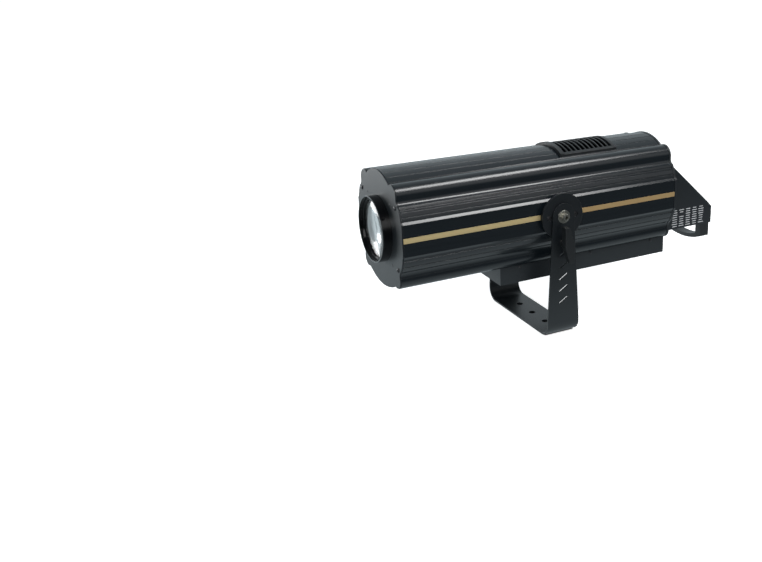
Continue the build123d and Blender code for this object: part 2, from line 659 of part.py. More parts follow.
def focus_motor():
    """Motor that stands on the chassis plate; its shaft carries the pinion."""
    start = PINION_WIDTH / 2 + 8
    frame = Pos(PINION_Y, PINION_Z) * motor_frame(PINION_Z - CHASSIS_TOP)
    body = along_x(frame, start, start + MOTOR_LENGTH)
    return body + rod_x(PINION_Y, PINION_Z, MOTOR_SHAFT, -PINION_WIDTH / 2 - 2, start)


CHASSIS_TOP = AXIS_Z + LEDGE_Z + CHASSIS_T
GATE_FACE_Y = GATE_Y + BULKHEAD_T
FRONT_BULKHEAD_Y = HOOD_BACK_Y


# ================================================================ inner chassis
def bulkhead(start, bore):
    """Cross plate that stands on the chassis plate."""
    upper = Pos(0, AXIS_Z) * Rectangle(2 * BULKHEAD_HALF_WIDTH, 2 * BULKHEAD_HALF_HEIGHT)
    foot_top = AXIS_Z - BULKHEAD_HALF_HEIGHT + 5
    foot = Pos(0, (foot_top + CHASSIS_TOP) / 2) * Rectangle(2 * BULKHEAD_FOOT_HALF, foot_top - CHASSIS_TOP)
    plate = along_y(upper + foot - Pos(0, AXIS_Z) * Circle(bore), start, start + BULKHEAD_T)
    for side in (1, -1):
        plate -= rod_y(side * ROD_X, AXIS_Z, ROD_RADIUS + FILM, start, start + BULKHEAD_T)
    return plate


def front_bulkhead():
    return bulkhead(FRONT_BULKHEAD_Y, HOOD_RADIUS - HOOD_WALL)


def gate_bulkhead():
    plate = bulkhead(GATE_Y, GATE_RADIUS)
    tube = tube_y(0, AXIS_Z, GATE_TUBE_RADIUS, GATE_RADIUS, GATE_Y - GATE_TUBE_LENGTH, GATE_Y)
    return plate + tube


def guide_rods():
    rod = rod_y(ROD_X, AXIS_Z, ROD_RADIUS, FRONT_BULKHEAD_Y, GATE_FACE_Y)
    return group(both_sides(rod))


def chassis_plate():
    start, end = HOOD_BACK_Y, SINK_REAR_Y + FAN_T
    return block((-CHASSIS_HALF_WIDTH, start, AXIS_Z + LEDGE_Z), (CHASSIS_HALF_WIDTH, end, CHASSIS_TOP))


# ================================================================ colour wheel
WHEEL_Y = GATE_FACE_Y + WHEEL_GAP
WHEEL_Z = AXIS_Z + WHEEL_RISE
WHEEL_MOTOR_Y = WHEEL_Y + WHEEL_T + WHEEL_HUB_T + 2


def filter_centres():
    turn = 2 * pi / FILTER_COUNT
    angles = [turn * n for n in range(FILTER_COUNT)]
    return [(WHEEL_RISE * sin(angle), WHEEL_Z - WHEEL_RISE * cos(angle)) for angle in angles]


def colour_wheel():
    wheel = rod_y(0, WHEEL_Z, WHEEL_RADIUS, WHEEL_Y, WHEEL_Y + WHEEL_T)
    wheel += rod_y(0, WHEEL_Z, WHEEL_HUB_RADIUS, WHEEL_Y, WHEEL_Y + WHEEL_T + WHEEL_HUB_T)
    for x, z in filter_centres():
        wheel -= rod_y(x, z, FILTER_RADIUS, WHEEL_Y, WHEEL_Y + WHEEL_T)
    return wheel - rod_y(0, WHEEL_Z, MOTOR_SHAFT + RUNNING, WHEEL_Y, WHEEL_Y + WHEEL_T + WHEEL_HUB_T)


def colour_filters():
    start = WHEEL_Y + (WHEEL_T - FILTER_T) / 2
    return group([rod_y(x, z, FILTER_RADIUS - FILM, start, start + FILTER_T) for x, z in filter_centres()])


def wheel_motor():
    body = along_y(Pos(0, WHEEL_Z) * motor_frame(MOTOR_HALF), WHEEL_MOTOR_Y, WHEEL_MOTOR_Y + MOTOR_LENGTH)
    shaft = rod_y(0, WHEEL_Z, MOTOR_SHAFT, GATE_FACE_Y, WHEEL_MOTOR_Y)
    bracket = block((-MOTOR_HALF, WHEEL_MOTOR_Y + MOTOR_LENGTH, WHEEL_Z - MOTOR_HALF),
                    (MOTOR_HALF, WHEEL_MOTOR_Y + MOTOR_LENGTH + 2, AXIS_Z + HOLDER_RADIUS + 14))
    return body + shaft + bracket


# ================================================================ light engine
SINK_FRONT_Y = LED_FACE_Y + LED_PLATE_T
SINK_REAR_Y = SINK_FRONT_Y + SINK_DEPTH
HOLDER_FRONT_Y = LED_FACE_Y - HOLDER_LENGTH


def condenser_holder():
    inner = HOLDER_RADIUS - HOLDER_WALL
    holder = tube_y(0, AXIS_Z, HOLDER_RADIUS, inner, HOLDER_FRONT_Y, LED_FACE_Y)
    holder += tube_y(0, AXIS_Z, HOLDER_RADIUS + 5, inner, LED_FACE_Y - 3, LED_FACE_Y)
    seat = HOLDER_FRONT_Y + CONDENSER_DOME + CONDENSER_EDGE
    holder += tube_y(0, AXIS_Z, HOLDER_RADIUS - 0.5, inner - 3, seat, seat + 2)
    return holder


def condenser_lenses():
    inner = HOLDER_RADIUS - HOLDER_WALL
    seat = HOLDER_FRONT_Y + CONDENSER_DOME + CONDENSER_EDGE
    front = domed_lens(inner - FILM, inner - FREE_GAP, CONDENSER_EDGE, CONDENSER_DOME, seat, -1)
    back = domed_lens(inner - FILM, inner - FREE_GAP, CONDENSER_EDGE, CONDENSER_DOME, seat + 2, 1)
    return group([front, back])


def led_board():
    plate_face = Pos(0, AXIS_Z) * Rectangle(2 * LED_PLATE_HALF, 2 * LED_PLATE_HALF)
    chip_face = Pos(0, AXIS_Z) * Rectangle(2 * LED_CHIP_HALF, 2 * LED_CHIP_HALF)
    plate = along_y(plate_face, LED_FACE_Y, SINK_FRONT_Y)
    return plate + along_y(chip_face, LED_FACE_Y - LED_CHIP_T, LED_FACE_Y)


def heatsink():
    """Finned block; the fins stand upright so that air rises to the vent."""
    low, high = AXIS_Z - SINK_HALF_Z, AXIS_Z + SINK_HALF_Z
    sink = block((-SINK_HALF_X, SINK_FRONT_Y, low), (SINK_HALF_X, SINK_FRONT_Y + SINK_BASE, high))
    step = (2 * SINK_HALF_X - FIN_T) / (FIN_COUNT - 1)
    for n in range(FIN_COUNT):
        x = -SINK_HALF_X + step * n
        sink += block((x, SINK_FRONT_Y, low), (x + FIN_T, SINK_REAR_Y, high))
    for x in (-SINK_HALF_X, SINK_HALF_X - SINK_FOOT_T):
        sink += block((x, SINK_FRONT_Y, CHASSIS_TOP), (x + SINK_FOOT_T, SINK_REAR_Y, low + 4))
    return sink


def fan_frame():
    start = SINK_REAR_Y
    end = start + FAN_T
    face = RectangleRounded(2 * FAN_HALF, 2 * FAN_HALF, FAN_FOOT_T) - Circle(FAN_BORE)
    frame = along_y(Pos(0, AXIS_Z) * face, start, end)
    strut = block((-FAN_BORE - 1, end - STRUT_T, AXIS_Z - 3), (FAN_BORE + 1, end, AXIS_Z + 3))
    frame += strut + Pos(0, 0, AXIS_Z) * Rot(0, 90, 0) * Pos(0, 0, -AXIS_Z) * strut
    frame += rod_y(0, AXIS_Z, ROTOR_HUB, end - STRUT_T, end)
    frame += rod_y(0, AXIS_Z, FAN_SHAFT, start + FAN_FOOT_T, end - STRUT_T)
    foot_half, foot_top = FAN_HALF - 10, AXIS_Z - FAN_HALF + 1
    frame += block((-foot_half, start, CHASSIS_TOP), (foot_half, start + FAN_FOOT_T, foot_top))
    return frame


def fan_rotor():
    start, end = SINK_REAR_Y + 2.5, SINK_REAR_Y + FAN_T - 3.2
    rotor = rod_y(0, AXIS_Z, ROTOR_HUB, start, end)
    for n in range(BLADE_COUNT):
        blade = Box(1.8, (end - start) * 1.02, ROTOR_RADIUS - ROTOR_HUB + 3)
        blade = Rot(0, 0, BLADE_PITCH) * blade
        blade = Pos(0, 0, (ROTOR_RADIUS + ROTOR_HUB - 3) / 2) * blade
        blade = Pos(0, (start + end) / 2, AXIS_Z) * Rot(0, 360 * n / BLADE_COUNT, 0) * blade
        rotor += blade & tube_y(0, AXIS_Z, ROTOR_RADIUS, 1, start, end)
    return rotor - rod_y(0, AXIS_Z, FAN_SHAFT + RUNNING, start, end)


# ================================================================ yoke
def yoke_strap():
    """Bent strip with tapered arms, round tops, slanted slots and three base holes."""
    crown = PIVOT_HEIGHT + ARM_TOP_RISE
    top = crown + ARM_TOP_RADIUS
    width, inner = YOKE_OUTER_HALF, YOKE_INNER_HALF
    bend, inner_bend = YOKE_BEND, YOKE_BEND - YOKE_T
    outer_face = Pos(0, top / 2) * Rectangle(2 * width, top)
    lower = outer_face.vertices().sort_by(Axis.Y)[:2]
    outer_face = fillet(lower, bend)
    inner_face = Pos(0, YOKE_T + top / 2) * Rectangle(2 * inner, top)
    lower = inner_face.vertices().sort_by(Axis.Y)[:2]
    inner_face = fillet(lower, inner_bend)
    strap = along_y(outer_face - inner_face, -YOKE_BASE_HALF, YOKE_BASE_HALF)

    lean = atan2(YOKE_BASE_HALF - ARM_TOP_RADIUS, crown - ARM_FOOT_Z)
    touch_y, touch_z = ARM_TOP_RADIUS * cos(lean), crown + ARM_TOP_RADIUS * sin(lean)
    blank = Polyline((-YOKE_BASE_HALF, -1), (-YOKE_BASE_HALF, ARM_FOOT_Z), (-touch_y, touch_z),
                     (touch_y, touch_z), (YOKE_BASE_HALF, ARM_FOOT_Z), (YOKE_BASE_HALF, -1), close=True)
    arm_face = make_face(blank) + Pos(0, crown) * Circle(ARM_TOP_RADIUS)
    arm_face -= Pos(0, PIVOT_HEIGHT) * Circle(PIVOT_SHANK + RUNNING)
    arm_face -= Pos(0, PIVOT_HEIGHT - KNOB_DROP) * Circle(STUD_RADIUS + SCREW_CLEAR)
    for n in range(SLOT_COUNT):
        middle = (0, SLOT_LOW_Z + SLOT_PITCH * n)
        arm_face -= Pos(*middle) * Rot(0, 0, SLOT_ANGLE) * SlotOverall(SLOT_LENGTH, SLOT_WIDTH)
    strap &= along_x(arm_face, -width - 1, width + 1)
    for n in (-1, 0, 1):
        strap -= rod_z(n * YOKE_HOLE_PITCH, 0, YOKE_HOLE_RADIUS, 0, YOKE_T)
    return strap


# ================================================================ tilt pivot
def pivot_disc(side):
    """Friction disc carried on a boss and two pillars."""
    disc = rod_x(0, PIVOT_HEIGHT, DISC_RADIUS, DISC_IN, DISC_OUT)
    disc -= rod_x(0, PIVOT_HEIGHT, PIVOT_SHANK + FILM, DISC_IN, DISC_OUT)
    for y, z in disc_screw_points():
        head = M5[1] + 0.4
        disc -= rod_x(y, z, M5[0] + SCREW_CLEAR, DISC_IN, DISC_OUT)
        disc -= rod_x(y, z, head, DISC_OUT - M5[2] - 0.4, DISC_OUT)
    return disc if side > 0 else mirror(disc, about=Plane.YZ)


def pivot_bosses():
    """Spacers between the flank and each disc."""
    spacers = []
    boss = rod_x(0, PIVOT_HEIGHT, BOSS_RADIUS, SECTION_HALF_WIDTH, DISC_IN)
    spacers += both_sides(boss - rod_x(0, PIVOT_HEIGHT, PIVOT_SHANK + FILM, SECTION_HALF_WIDTH, DISC_IN))
    for y, z in disc_screw_points():
        pillar = rod_x(y, z, PILLAR_RADIUS, SECTION_HALF_WIDTH, DISC_IN)
        spacers += both_sides(pillar - rod_x(y, z, M5[0] + SCREW_CLEAR, SECTION_HALF_WIDTH, DISC_IN))
    return group(spacers)


def disc_screws():
    screws = []
    for y, z in disc_screw_points():
        seat = DISC_OUT - M5[2] - 0.4
        size = (M5[0] - FILM, M5[1], M5[2])
        length = seat - SECTION_HALF_WIDTH + DISC_SCREW_BITE
        screws += both_sides(facing((1, 0, 0), (seat, y, z)) * pan_screw(size, length))
    return group(screws)


def friction_washers():
    ring = rod_x(0, PIVOT_HEIGHT, FRICTION_RADIUS, DISC_OUT, YOKE_INNER_HALF)
    return group(both_sides(ring - rod_x(0, PIVOT_HEIGHT, PIVOT_SHANK + 0.3, DISC_OUT, YOKE_INNER_HALF)))


def pivot_washers():
    start = YOKE_OUTER_HALF
    ring = rod_x(0, PIVOT_HEIGHT, WASHER_RADIUS, start, start + WASHER_T)
    ring -= rod_x(0, PIVOT_HEIGHT, PIVOT_SHANK + FILM, start, start + WASHER_T)
    outer_edges = ring.edges().filter_by(GeomType.CIRCLE).group_by(Axis.X)[-1]
    return group(both_sides(chamfer(outer_edges.sort_by(SortBy.RADIUS)[-1:], 0.3)))


def pivot_bolts():
    """Socket-head bolts that end inside the flank."""
    seat = YOKE_OUTER_HALF + WASHER_T
    top = seat + PIVOT_HEAD_T
    head = rod_x(0, PIVOT_HEIGHT, PIVOT_HEAD_RADIUS, seat, top)
    head = fillet(head.edges().filter_by(GeomType.CIRCLE).group_by(Axis.X)[-1], 0.8)
    socket = along_x(Pos(0, PIVOT_HEIGHT) * RegularPolygon(PIVOT_HEX, 6), top - PIVOT_HEX_DEPTH, top)
    shank = rod_x(0, PIVOT_HEIGHT, PIVOT_SHANK, SECTION_HALF_WIDTH - WALL - NUT_T - 2, seat)
    return group(both_sides(head - socket + shank))


def pivot_nuts():
    """Hexagon nuts inside the flanks."""
    start = SECTION_HALF_WIDTH - WALL - NUT_T
    nut = RegularPolygon(NUT_RADIUS, 6) - Circle(PIVOT_SHANK + FILM)
    return group(both_sides(along_x(Pos(0, PIVOT_HEIGHT) * nut, start, start + NUT_T)))


# ================================================================ tilt clamp
def clamp_jaws():
    """Blocks behind the arms that hook over the rim of each disc."""
    y0, y1 = -JAW_HALF_WIDTH, JAW_HALF_WIDTH
    stud_z = PIVOT_HEIGHT - KNOB_DROP
    seat_z = PIVOT_HEIGHT - DISC_RADIUS - FREE_GAP
    bottom = stud_z - 8
    back_out = DISC_IN - FREE_GAP
    pad = block((back_out, y0, bottom), (YOKE_INNER_HALF, y1, seat_z - 1.2))
    back = block((back_out - JAW_T, y0, bottom), (back_out, y1, PIVOT_HEIGHT - DISC_RADIUS + JAW_LIP))
    jaw = pad + back
    jaw -= rod_x(0, PIVOT_HEIGHT, DISC_RADIUS + FREE_GAP + 0.2, back_out, YOKE_INNER_HALF + 1)
    jaw -= rod_x(0, stud_z, STUD_RADIUS + FILM, back_out - JAW_T, YOKE_INNER_HALF)
    return group(both_sides(jaw))


STUD_ROOT = DISC_IN - FREE_GAP - JAW_T
KNOB_SEAT = YOKE_OUTER_HALF + STUD_FLANGE_T + FREE_GAP


def clamp_studs():
    """Studs that run from the jaw through the arm into the knob, each with a washer flange."""
    stud_z = PIVOT_HEIGHT - KNOB_DROP
    stud = rod_x(0, stud_z, STUD_RADIUS, STUD_ROOT, KNOB_SEAT + KNOB_HUB_T + 4)
    flange = rod_x(0, stud_z, STUD_FLANGE_RADIUS, YOKE_OUTER_HALF, YOKE_OUTER_HALF + STUD_FLANGE_T)
    return group(both_sides(stud + flange))


def wing_knob(side):
    """Moulded wing: a round hub and a slanted, point-symmetric blade."""
    stud_z = PIVOT_HEIGHT - KNOB_DROP
    seat = KNOB_SEAT
    outer = YOKE_OUTER_HALF + KNOB_REACH
    blade = Polyline((-WING_ROOT / 2, -WING_HALF_HEIGHT * 0.10), (-WING_ROOT / 2, WING_HALF_HEIGHT),
                     (WING_ROOT / 2 - WING_TIP, WING_HALF_HEIGHT), (WING_ROOT / 2, WING_HALF_HEIGHT * 0.10),
                     (WING_ROOT / 2, -WING_HALF_HEIGHT), (-WING_ROOT / 2 + WING_TIP, -WING_HALF_HEIGHT),
                     close=True)
    face = make_face(blade)
    face = fillet(face.vertices(), 1.2)
    knob = along_x(Pos(0, stud_z) * face, seat + KNOB_HUB_T, outer)
    knob += rod_x(0, stud_z, KNOB_HUB_RADIUS, seat, seat + KNOB_HUB_T + 1)
    knob -= rod_x(0, stud_z, STUD_RADIUS + RUNNING, seat, seat + KNOB_HUB_T + 4 + FREE_GAP)
    return knob if side > 0 else mirror(knob, about=Plane.YZ)


# ================================================================ control box
BOX_FRONT_Y = REAR_Y + REAR_PLATE_T
BOX_REAR_Y = BOX_FRONT_Y + BOX_DEPTH
SLOPE_LENGTH = hypot(BOX_DEPTH, BOX_TOP - BOX_HEEL)
SLOPE_DIR = (BOX_DEPTH / SLOPE_LENGTH, (BOX_HEEL - BOX_TOP) / SLOPE_LENGTH)
SLOPE_NORMAL = (0.0, -SLOPE_DIR[1], SLOPE_DIR[0])


def box_side(inset, floor_inset):
    """Side view of the box as (y, z); the slope and the rear are moved in by the inset."""
    slope = inset / SLOPE_DIR[0]
    heel = inset * (SLOPE_LENGTH - (BOX_TOP - BOX_HEEL)) / BOX_DEPTH
    points = ((BOX_FRONT_Y, AXIS_Z + BOX_BOTTOM + floor_inset), (BOX_FRONT_Y, AXIS_Z + BOX_TOP - slope),
              (BOX_REAR_Y - inset, AXIS_Z + BOX_HEEL - heel),
              (BOX_REAR_Y - inset, AXIS_Z + BOX_BOTTOM + floor_inset))
    return make_face(Polyline(*points, close=True))


def slope_frame(along, across, lift=0.0):
    """Location on the slope: distance down from its top edge, X, and height above its surface."""
    y = BOX_FRONT_Y + SLOPE_DIR[0] * along + SLOPE_NORMAL[1] * lift
    z = AXIS_Z + BOX_TOP + SLOPE_DIR[1] * along + SLOPE_NORMAL[2] * lift
    return Plane(origin=(across, y, z), x_dir=(0, SLOPE_DIR[0], SLOPE_DIR[1]), z_dir=SLOPE_NORMAL)


def slope_prism(sketch, along, across, low, high):
    """Extrude a sketch (along, across) between two heights over the slope."""
    return extrude(slope_frame(along, across, low) * sketch, amount=high - low)


PANEL_ALONG = (PANEL_MARGIN + 6.0, SLOPE_LENGTH - PANEL_MARGIN - 2.0)
PANEL_HALF = BOX_HALF - PANEL_MARGIN


def box_flange_points():
    """Screws that hold the box to the rear plate, as (x, z)."""
    inner = BOX_HALF - BOX_SKIN - BOX_FLANGE / 2
    return [(sx * inner, AXIS_Z + z) for sx in (1, -1) for z in (20.0, -60.0)]


def control_box():
    shell = along_x(box_side(0, 0), -BOX_HALF, BOX_HALF)
    shell -= along_x(box_side(BOX_SKIN, BOX_SKIN), -BOX_HALF + BOX_SKIN, BOX_HALF - BOX_SKIN)
    middle = (PANEL_ALONG[0] + PANEL_ALONG[1]) / 2
    window = Rectangle(PANEL_ALONG[1] - PANEL_ALONG[0] - 10, 2 * PANEL_HALF - 10)
    shell -= slope_prism(window, middle, 0, -4, 4)
    for side in (1, -1):
        x0, x1 = sorted((side * (BOX_HALF - BOX_SKIN), side * (BOX_HALF - BOX_SKIN - BOX_FLANGE)))
        shell += block((x0, BOX_FRONT_Y, AXIS_Z + BOX_BOTTOM + BOX_SKIN),
                       (x1, BOX_FRONT_Y + BOX_SKIN, AXIS_Z + BOX_FLANGE_TOP))
    for x, z in box_flange_points():
        shell -= rod_y(x, z, M4[0] + SCREW_CLEAR, BOX_FRONT_Y, BOX_FRONT_Y + BOX_SKIN)
    rear = (BOX_REAR_Y - BOX_SKIN - 1, BOX_REAR_Y + 1)
    z = AXIS_Z + REAR_PARTS_Z
    inlet_hole = Rectangle(2 * INLET_HALF[0] - 6, 2 * INLET_HALF[1] - 4)
    switch_hole = Rectangle(2 * ROCKER_FRAME_HALF[0] - 3, 2 * ROCKER_FRAME_HALF[1] - 3)
    shell -= along_y(Pos(INLET_X, z) * inlet_hole, *rear)
    shell -= along_y(Pos(SWITCH_X, z) * switch_hole, *rear)
    for x in SOCKET_X:
        shell -= rod_y(x, z, SOCKET_BORE + 2.5, *rear)
    for x, y in handle_screw_points():
        shell -= rod_z(x, y, M4[0] + SCREW_CLEAR, AXIS_Z + BOX_BOTTOM, AXIS_Z + BOX_BOTTOM + BOX_SKIN)
    return shell


def control_panel():
    middle = (PANEL_ALONG[0] + PANEL_ALONG[1]) / 2
    panel = slope_prism(Rectangle(PANEL_ALONG[1] - PANEL_ALONG[0], 2 * PANEL_HALF), middle, 0, 0, PANEL_T)
    opening = Rectangle(2 * DISPLAY_HALF[0] - 6, 2 * DISPLAY_HALF[1] - 6)
    panel -= slope_prism(opening, DISPLAY_ALONG, DISPLAY_ACROSS, 0, PANEL_T)
    for along in BUTTON_ALONG:
        for across in BUTTON_ACROSS:
            panel -= slope_prism(Circle(BUTTON_RADIUS + FREE_GAP), along, across, 0, PANEL_T)
    return panel


def display_module():
    """Display with its clear window, held against the back of the panel."""
    body = slope_prism(Rectangle(2 * DISPLAY_HALF[0], 2 * DISPLAY_HALF[1]), DISPLAY_ALONG, DISPLAY_ACROSS,
                       -BOARD_DEPTH, 0)
    glass = Rectangle(2 * DISPLAY_HALF[0] - 6 - 2 * FILM, 2 * DISPLAY_HALF[1] - 6 - 2 * FILM)
    return body + slope_prism(glass, DISPLAY_ALONG, DISPLAY_ACROSS, 0, PANEL_T * 0.6)


def control_board():
    middle = (PANEL_ALONG[0] + PANEL_ALONG[1]) / 2
    half_along, half_across = BOARD_HALF
    outline = Rectangle(2 * half_along, 2 * half_across)
    board = slope_prism(outline, middle + 4, 0, -BOARD_DEPTH - BOARD_T, -BOARD_DEPTH)
    for across in (half_across - 5, 5 - half_across):
        for along in (middle + 9 - half_along, middle - 1 + half_along):
            board += slope_prism(Circle(STANDOFF_RADIUS), along, across, -BOARD_DEPTH, 0)
    return board


def push_button(along, across):
    """Cap through the panel with a retaining flange under it."""
    low = -BUTTON_FLANGE_T - 0.1
    cap = slope_prism(Circle(BUTTON_RADIUS), along, across, low, PANEL_T + BUTTON_PROUD)
    cap = fillet(cap.edges().filter_by(GeomType.CIRCLE).sort_by(Axis((0, 0, 0), SLOPE_NORMAL))[-1], 0.7)
    flange = slope_prism(Circle(BUTTON_FLANGE), along, across, low, -0.1)
    return cap + flange


def button_switches():
    """Switch bodies on the board, each just clear of its button at full travel."""
    top = -BUTTON_FLANGE_T - 0.1 - BUTTON_TRAVEL - FREE_GAP
    bodies = []
    for along in BUTTON_ALONG:
        for across in BUTTON_ACROSS:
            bodies.append(slope_prism(Rectangle(6, 6), along, across, -BOARD_DEPTH, top))
    return group(bodies)


def power_switch_frame():
    z = AXIS_Z + REAR_PARTS_Z
    wide, tall = ROCKER_FRAME_HALF
    bezel = along_y(Pos(SWITCH_X, z) * Rectangle(2 * wide, 2 * tall), BOX_REAR_Y, BOX_REAR_Y + 2)
    well = Rectangle(2 * wide - 3 - 2 * FILM, 2 * tall - 3 - 2 * FILM)
    frame = bezel + along_y(Pos(SWITCH_X, z) * well, BOX_REAR_Y - 18, BOX_REAR_Y)
    hollow = Rectangle(2 * ROCKER_HALF[0] + 0.6, 2 * ROCKER_HALF[1] + 0.8)
    return frame - along_y(Pos(SWITCH_X, z) * hollow, BOX_REAR_Y - 10, BOX_REAR_Y + 2)


ROCKER_PIVOT_Y = BOX_REAR_Y - 3.0


def power_rocker():
    """Rocker whose two faces meet over its pivot, shown in the off position."""
    tall = ROCKER_HALF[1] - 0.3
    rise = tan(radians(ROCKER_THROW)) * tall
    face = BOX_REAR_Y + 1.2
    z = AXIS_Z + REAR_PARTS_Z
    points = ((ROCKER_PIVOT_Y - 2, z - 3), (ROCKER_PIVOT_Y + 1, z - tall), (face - 0.4, z - tall), (face, z),
              (face + rise, z + tall), (ROCKER_PIVOT_Y + 1, z + tall), (ROCKER_PIVOT_Y - 2, z + 3))
    swing = Pos(ROCKER_PIVOT_Y, z) * Circle(ROCKER_HALF[1] - 0.1)
    side = make_face(Polyline(*points, close=True)) & swing
    return along_x(side, SWITCH_X - ROCKER_HALF[0], SWITCH_X + ROCKER_HALF[0])


def mains_inlet():
    """Recessed three-pin inlet with its flange on the rear face."""
    z = AXIS_Z + REAR_PARTS_Z
    wide, tall = INLET_HALF
    plate = RectangleRounded(2 * wide, 2 * tall, 3)
    flange = along_y(Pos(INLET_X, z) * plate, BOX_REAR_Y, BOX_REAR_Y + 2.5)
    body = Rectangle(2 * wide - 6 - 2 * FILM, 2 * tall - 4 - 2 * FILM)
    inlet = flange + along_y(Pos(INLET_X, z) * body, BOX_REAR_Y - INLET_DEPTH, BOX_REAR_Y)
    mouth = chamfer(Rectangle(*INLET_MOUTH).vertices().sort_by(Axis.Y)[-2:], 5)
    inlet -= along_y(Pos(INLET_X, z) * mouth, BOX_REAR_Y - INLET_DEPTH + 5, BOX_REAR_Y + 2.5)
    for dx, dz in INLET_PINS:
        pin = Pos(INLET_X + dx, z + dz) * Rectangle(2, 4)
        inlet += along_y(pin, BOX_REAR_Y - INLET_DEPTH + 4, BOX_REAR_Y - 5)
    return inlet


def signal_sockets():
    """Two round control sockets with square flanges."""
    z = AXIS_Z + REAR_PARTS_Z
    sockets = []
    for x in SOCKET_X:
        wide, tall = SOCKET_HALF
        flange = along_y(Pos(x, z) * RectangleRounded(2 * wide, 2 * tall, 3), BOX_REAR_Y, BOX_REAR_Y + 2.5)
        socket = flange + rod_y(x, z, SOCKET_BORE + 2.5 - FILM, BOX_REAR_Y - SOCKET_DEPTH, BOX_REAR_Y)
        socket -= rod_y(x, z, SOCKET_BORE, BOX_REAR_Y - SOCKET_DEPTH + 4, BOX_REAR_Y + 2.5)
        root = BOX_REAR_Y - SOCKET_DEPTH + 3
        for dx, dz in SOCKET_PINS:
            socket += rod_y(x + dx, z + dz, SOCKET_PIN_RADIUS, root, BOX_REAR_Y - 3)
        sockets.append(socket)
    return group(sockets)


# ================================================================ rear handle
HANDLE_Y = (REAR_Y + HANDLE_FRONT, REAR_Y + HANDLE_FRONT + HANDLE_LENGTH)


def handle_screw_points():
    x = HANDLE_HALF - HANDLE_ARM / 2
    y = (HANDLE_Y[0] + HANDLE_Y[1]) / 2
    return [(x, y), (-x, y)]


def rear_handle():
    """Bow handle under the control box."""
    top = AXIS_Z + BOX_BOTTOM
    inner_half = HANDLE_HALF - HANDLE_ARM
    shoulder, sag = top - HANDLE_SHOULDER, top - HANDLE_SAG

    def bowl(half, corner, bottom):
        arc = ThreePointArc((-half, corner), (0, bottom), (half, corner))
        return make_face([arc, Polyline((half, corner), (half, top), (-half, top), (-half, corner))])

    outer = bowl(HANDLE_HALF, shoulder, sag)
    window = bowl(inner_half, shoulder + HANDLE_ROOT_T, sag + HANDLE_GRIP_T)
    handle = along_y(outer - window, *HANDLE_Y)
    for x, y in handle_screw_points():
        handle -= rod_z(x, y, M4[0], top - 12, top)
    return handle


# ================================================================ driver tray
def driver_tray():
    """Open tray screwed to the lower lobes of the extrusion."""
    floor = AXIS_Z - TRAY_DEPTH
    top = AXIS_Z + TRAY_TOP
    start, end = TRAY_FRONT, REAR_Y
    tray = block((-TRAY_HALF, start, floor), (TRAY_HALF, end, top))
    tray -= block((-TRAY_HALF + TRAY_SKIN, start + TRAY_SKIN, floor + TRAY_SKIN),
                  (TRAY_HALF - TRAY_SKIN, end - TRAY_SKIN, top + 1))
    solid = along_y(Pos(0, AXIS_Z) * offset(OUTLINE, amount=FILM, kind=Kind.ARC), start - 1, end + 1)
    tray -= solid
    for y in TRAY_SCREW_Y:
        for side in (1, -1):
            wall = sorted((side * (TRAY_HALF - 3), side * (TRAY_HALF + 1)))
            tray -= rod_x(y, AXIS_Z + TRAY_SCREW_Z, M3[0] + SCREW_CLEAR, *wall)
    return tray


def tray_blocks():
    """Threaded blocks between the keel and the tray walls that the tray screws enter."""
    screw_z = AXIS_Z + TRAY_SCREW_Z
    blocks = []
    for y in TRAY_SCREW_Y:
        front, rear = y - TRAY_BLOCK_HALF, y + TRAY_BLOCK_HALF
        piece = block((TRAY_BLOCK_IN, front, screw_z - TRAY_BLOCK_HALF),
                      (TRAY_HALF - TRAY_SKIN, rear, screw_z + 2 * TRAY_BLOCK_HALF))
        piece -= along_y(Pos(0, AXIS_Z) * OUTLINE, front - 1, rear + 1)
        piece -= rod_x(y, screw_z, M3[0], TRAY_BLOCK_IN - 1, TRAY_HALF)
        blocks += both_sides(piece)
    return group(blocks)


def case_screws():
    """Screws of the tray, the control box and the handle."""
    small = (M3[0] - FILM, M3[1], M3[2])
    size = (M4[0] - FILM, M4[1], M4[2])
    screws = []
    for y in TRAY_SCREW_Y:
        seat = facing((1, 0, 0), (TRAY_HALF, y, AXIS_Z + TRAY_SCREW_Z))
        screws += both_sides(seat * pan_screw(small, CASE_SCREW_LENGTH))
    for x, z in box_flange_points():
        seat = facing((0, 1, 0), (x, BOX_FRONT_Y + BOX_SKIN, z))
        screws.append(seat * pan_screw(size, BOX_SKIN + REAR_PLATE_T - 0.5))
    for x, y in handle_screw_points():
        seat = facing((0, 0, 1), (x, y, AXIS_Z + BOX_BOTTOM + BOX_SKIN))
        screws.append(seat * pan_screw(size, CASE_SCREW_LENGTH + 3))
    return group(screws)


def led_drivers():
    """Two slim driver modules on the floor of the tray."""
    floor = AXIS_Z - TRAY_DEPTH + TRAY_SKIN
    modules = []
    for n in (0, 1):
        start = TRAY_FRONT + DRIVER_GAP + n * (DRIVER_LENGTH + DRIVER_GAP)
        module = block((-DRIVER_HALF, start, floor), (DRIVER_HALF, start + DRIVER_LENGTH, floor + DRIVER_T))
        modules.append(module)
    return group(modules)


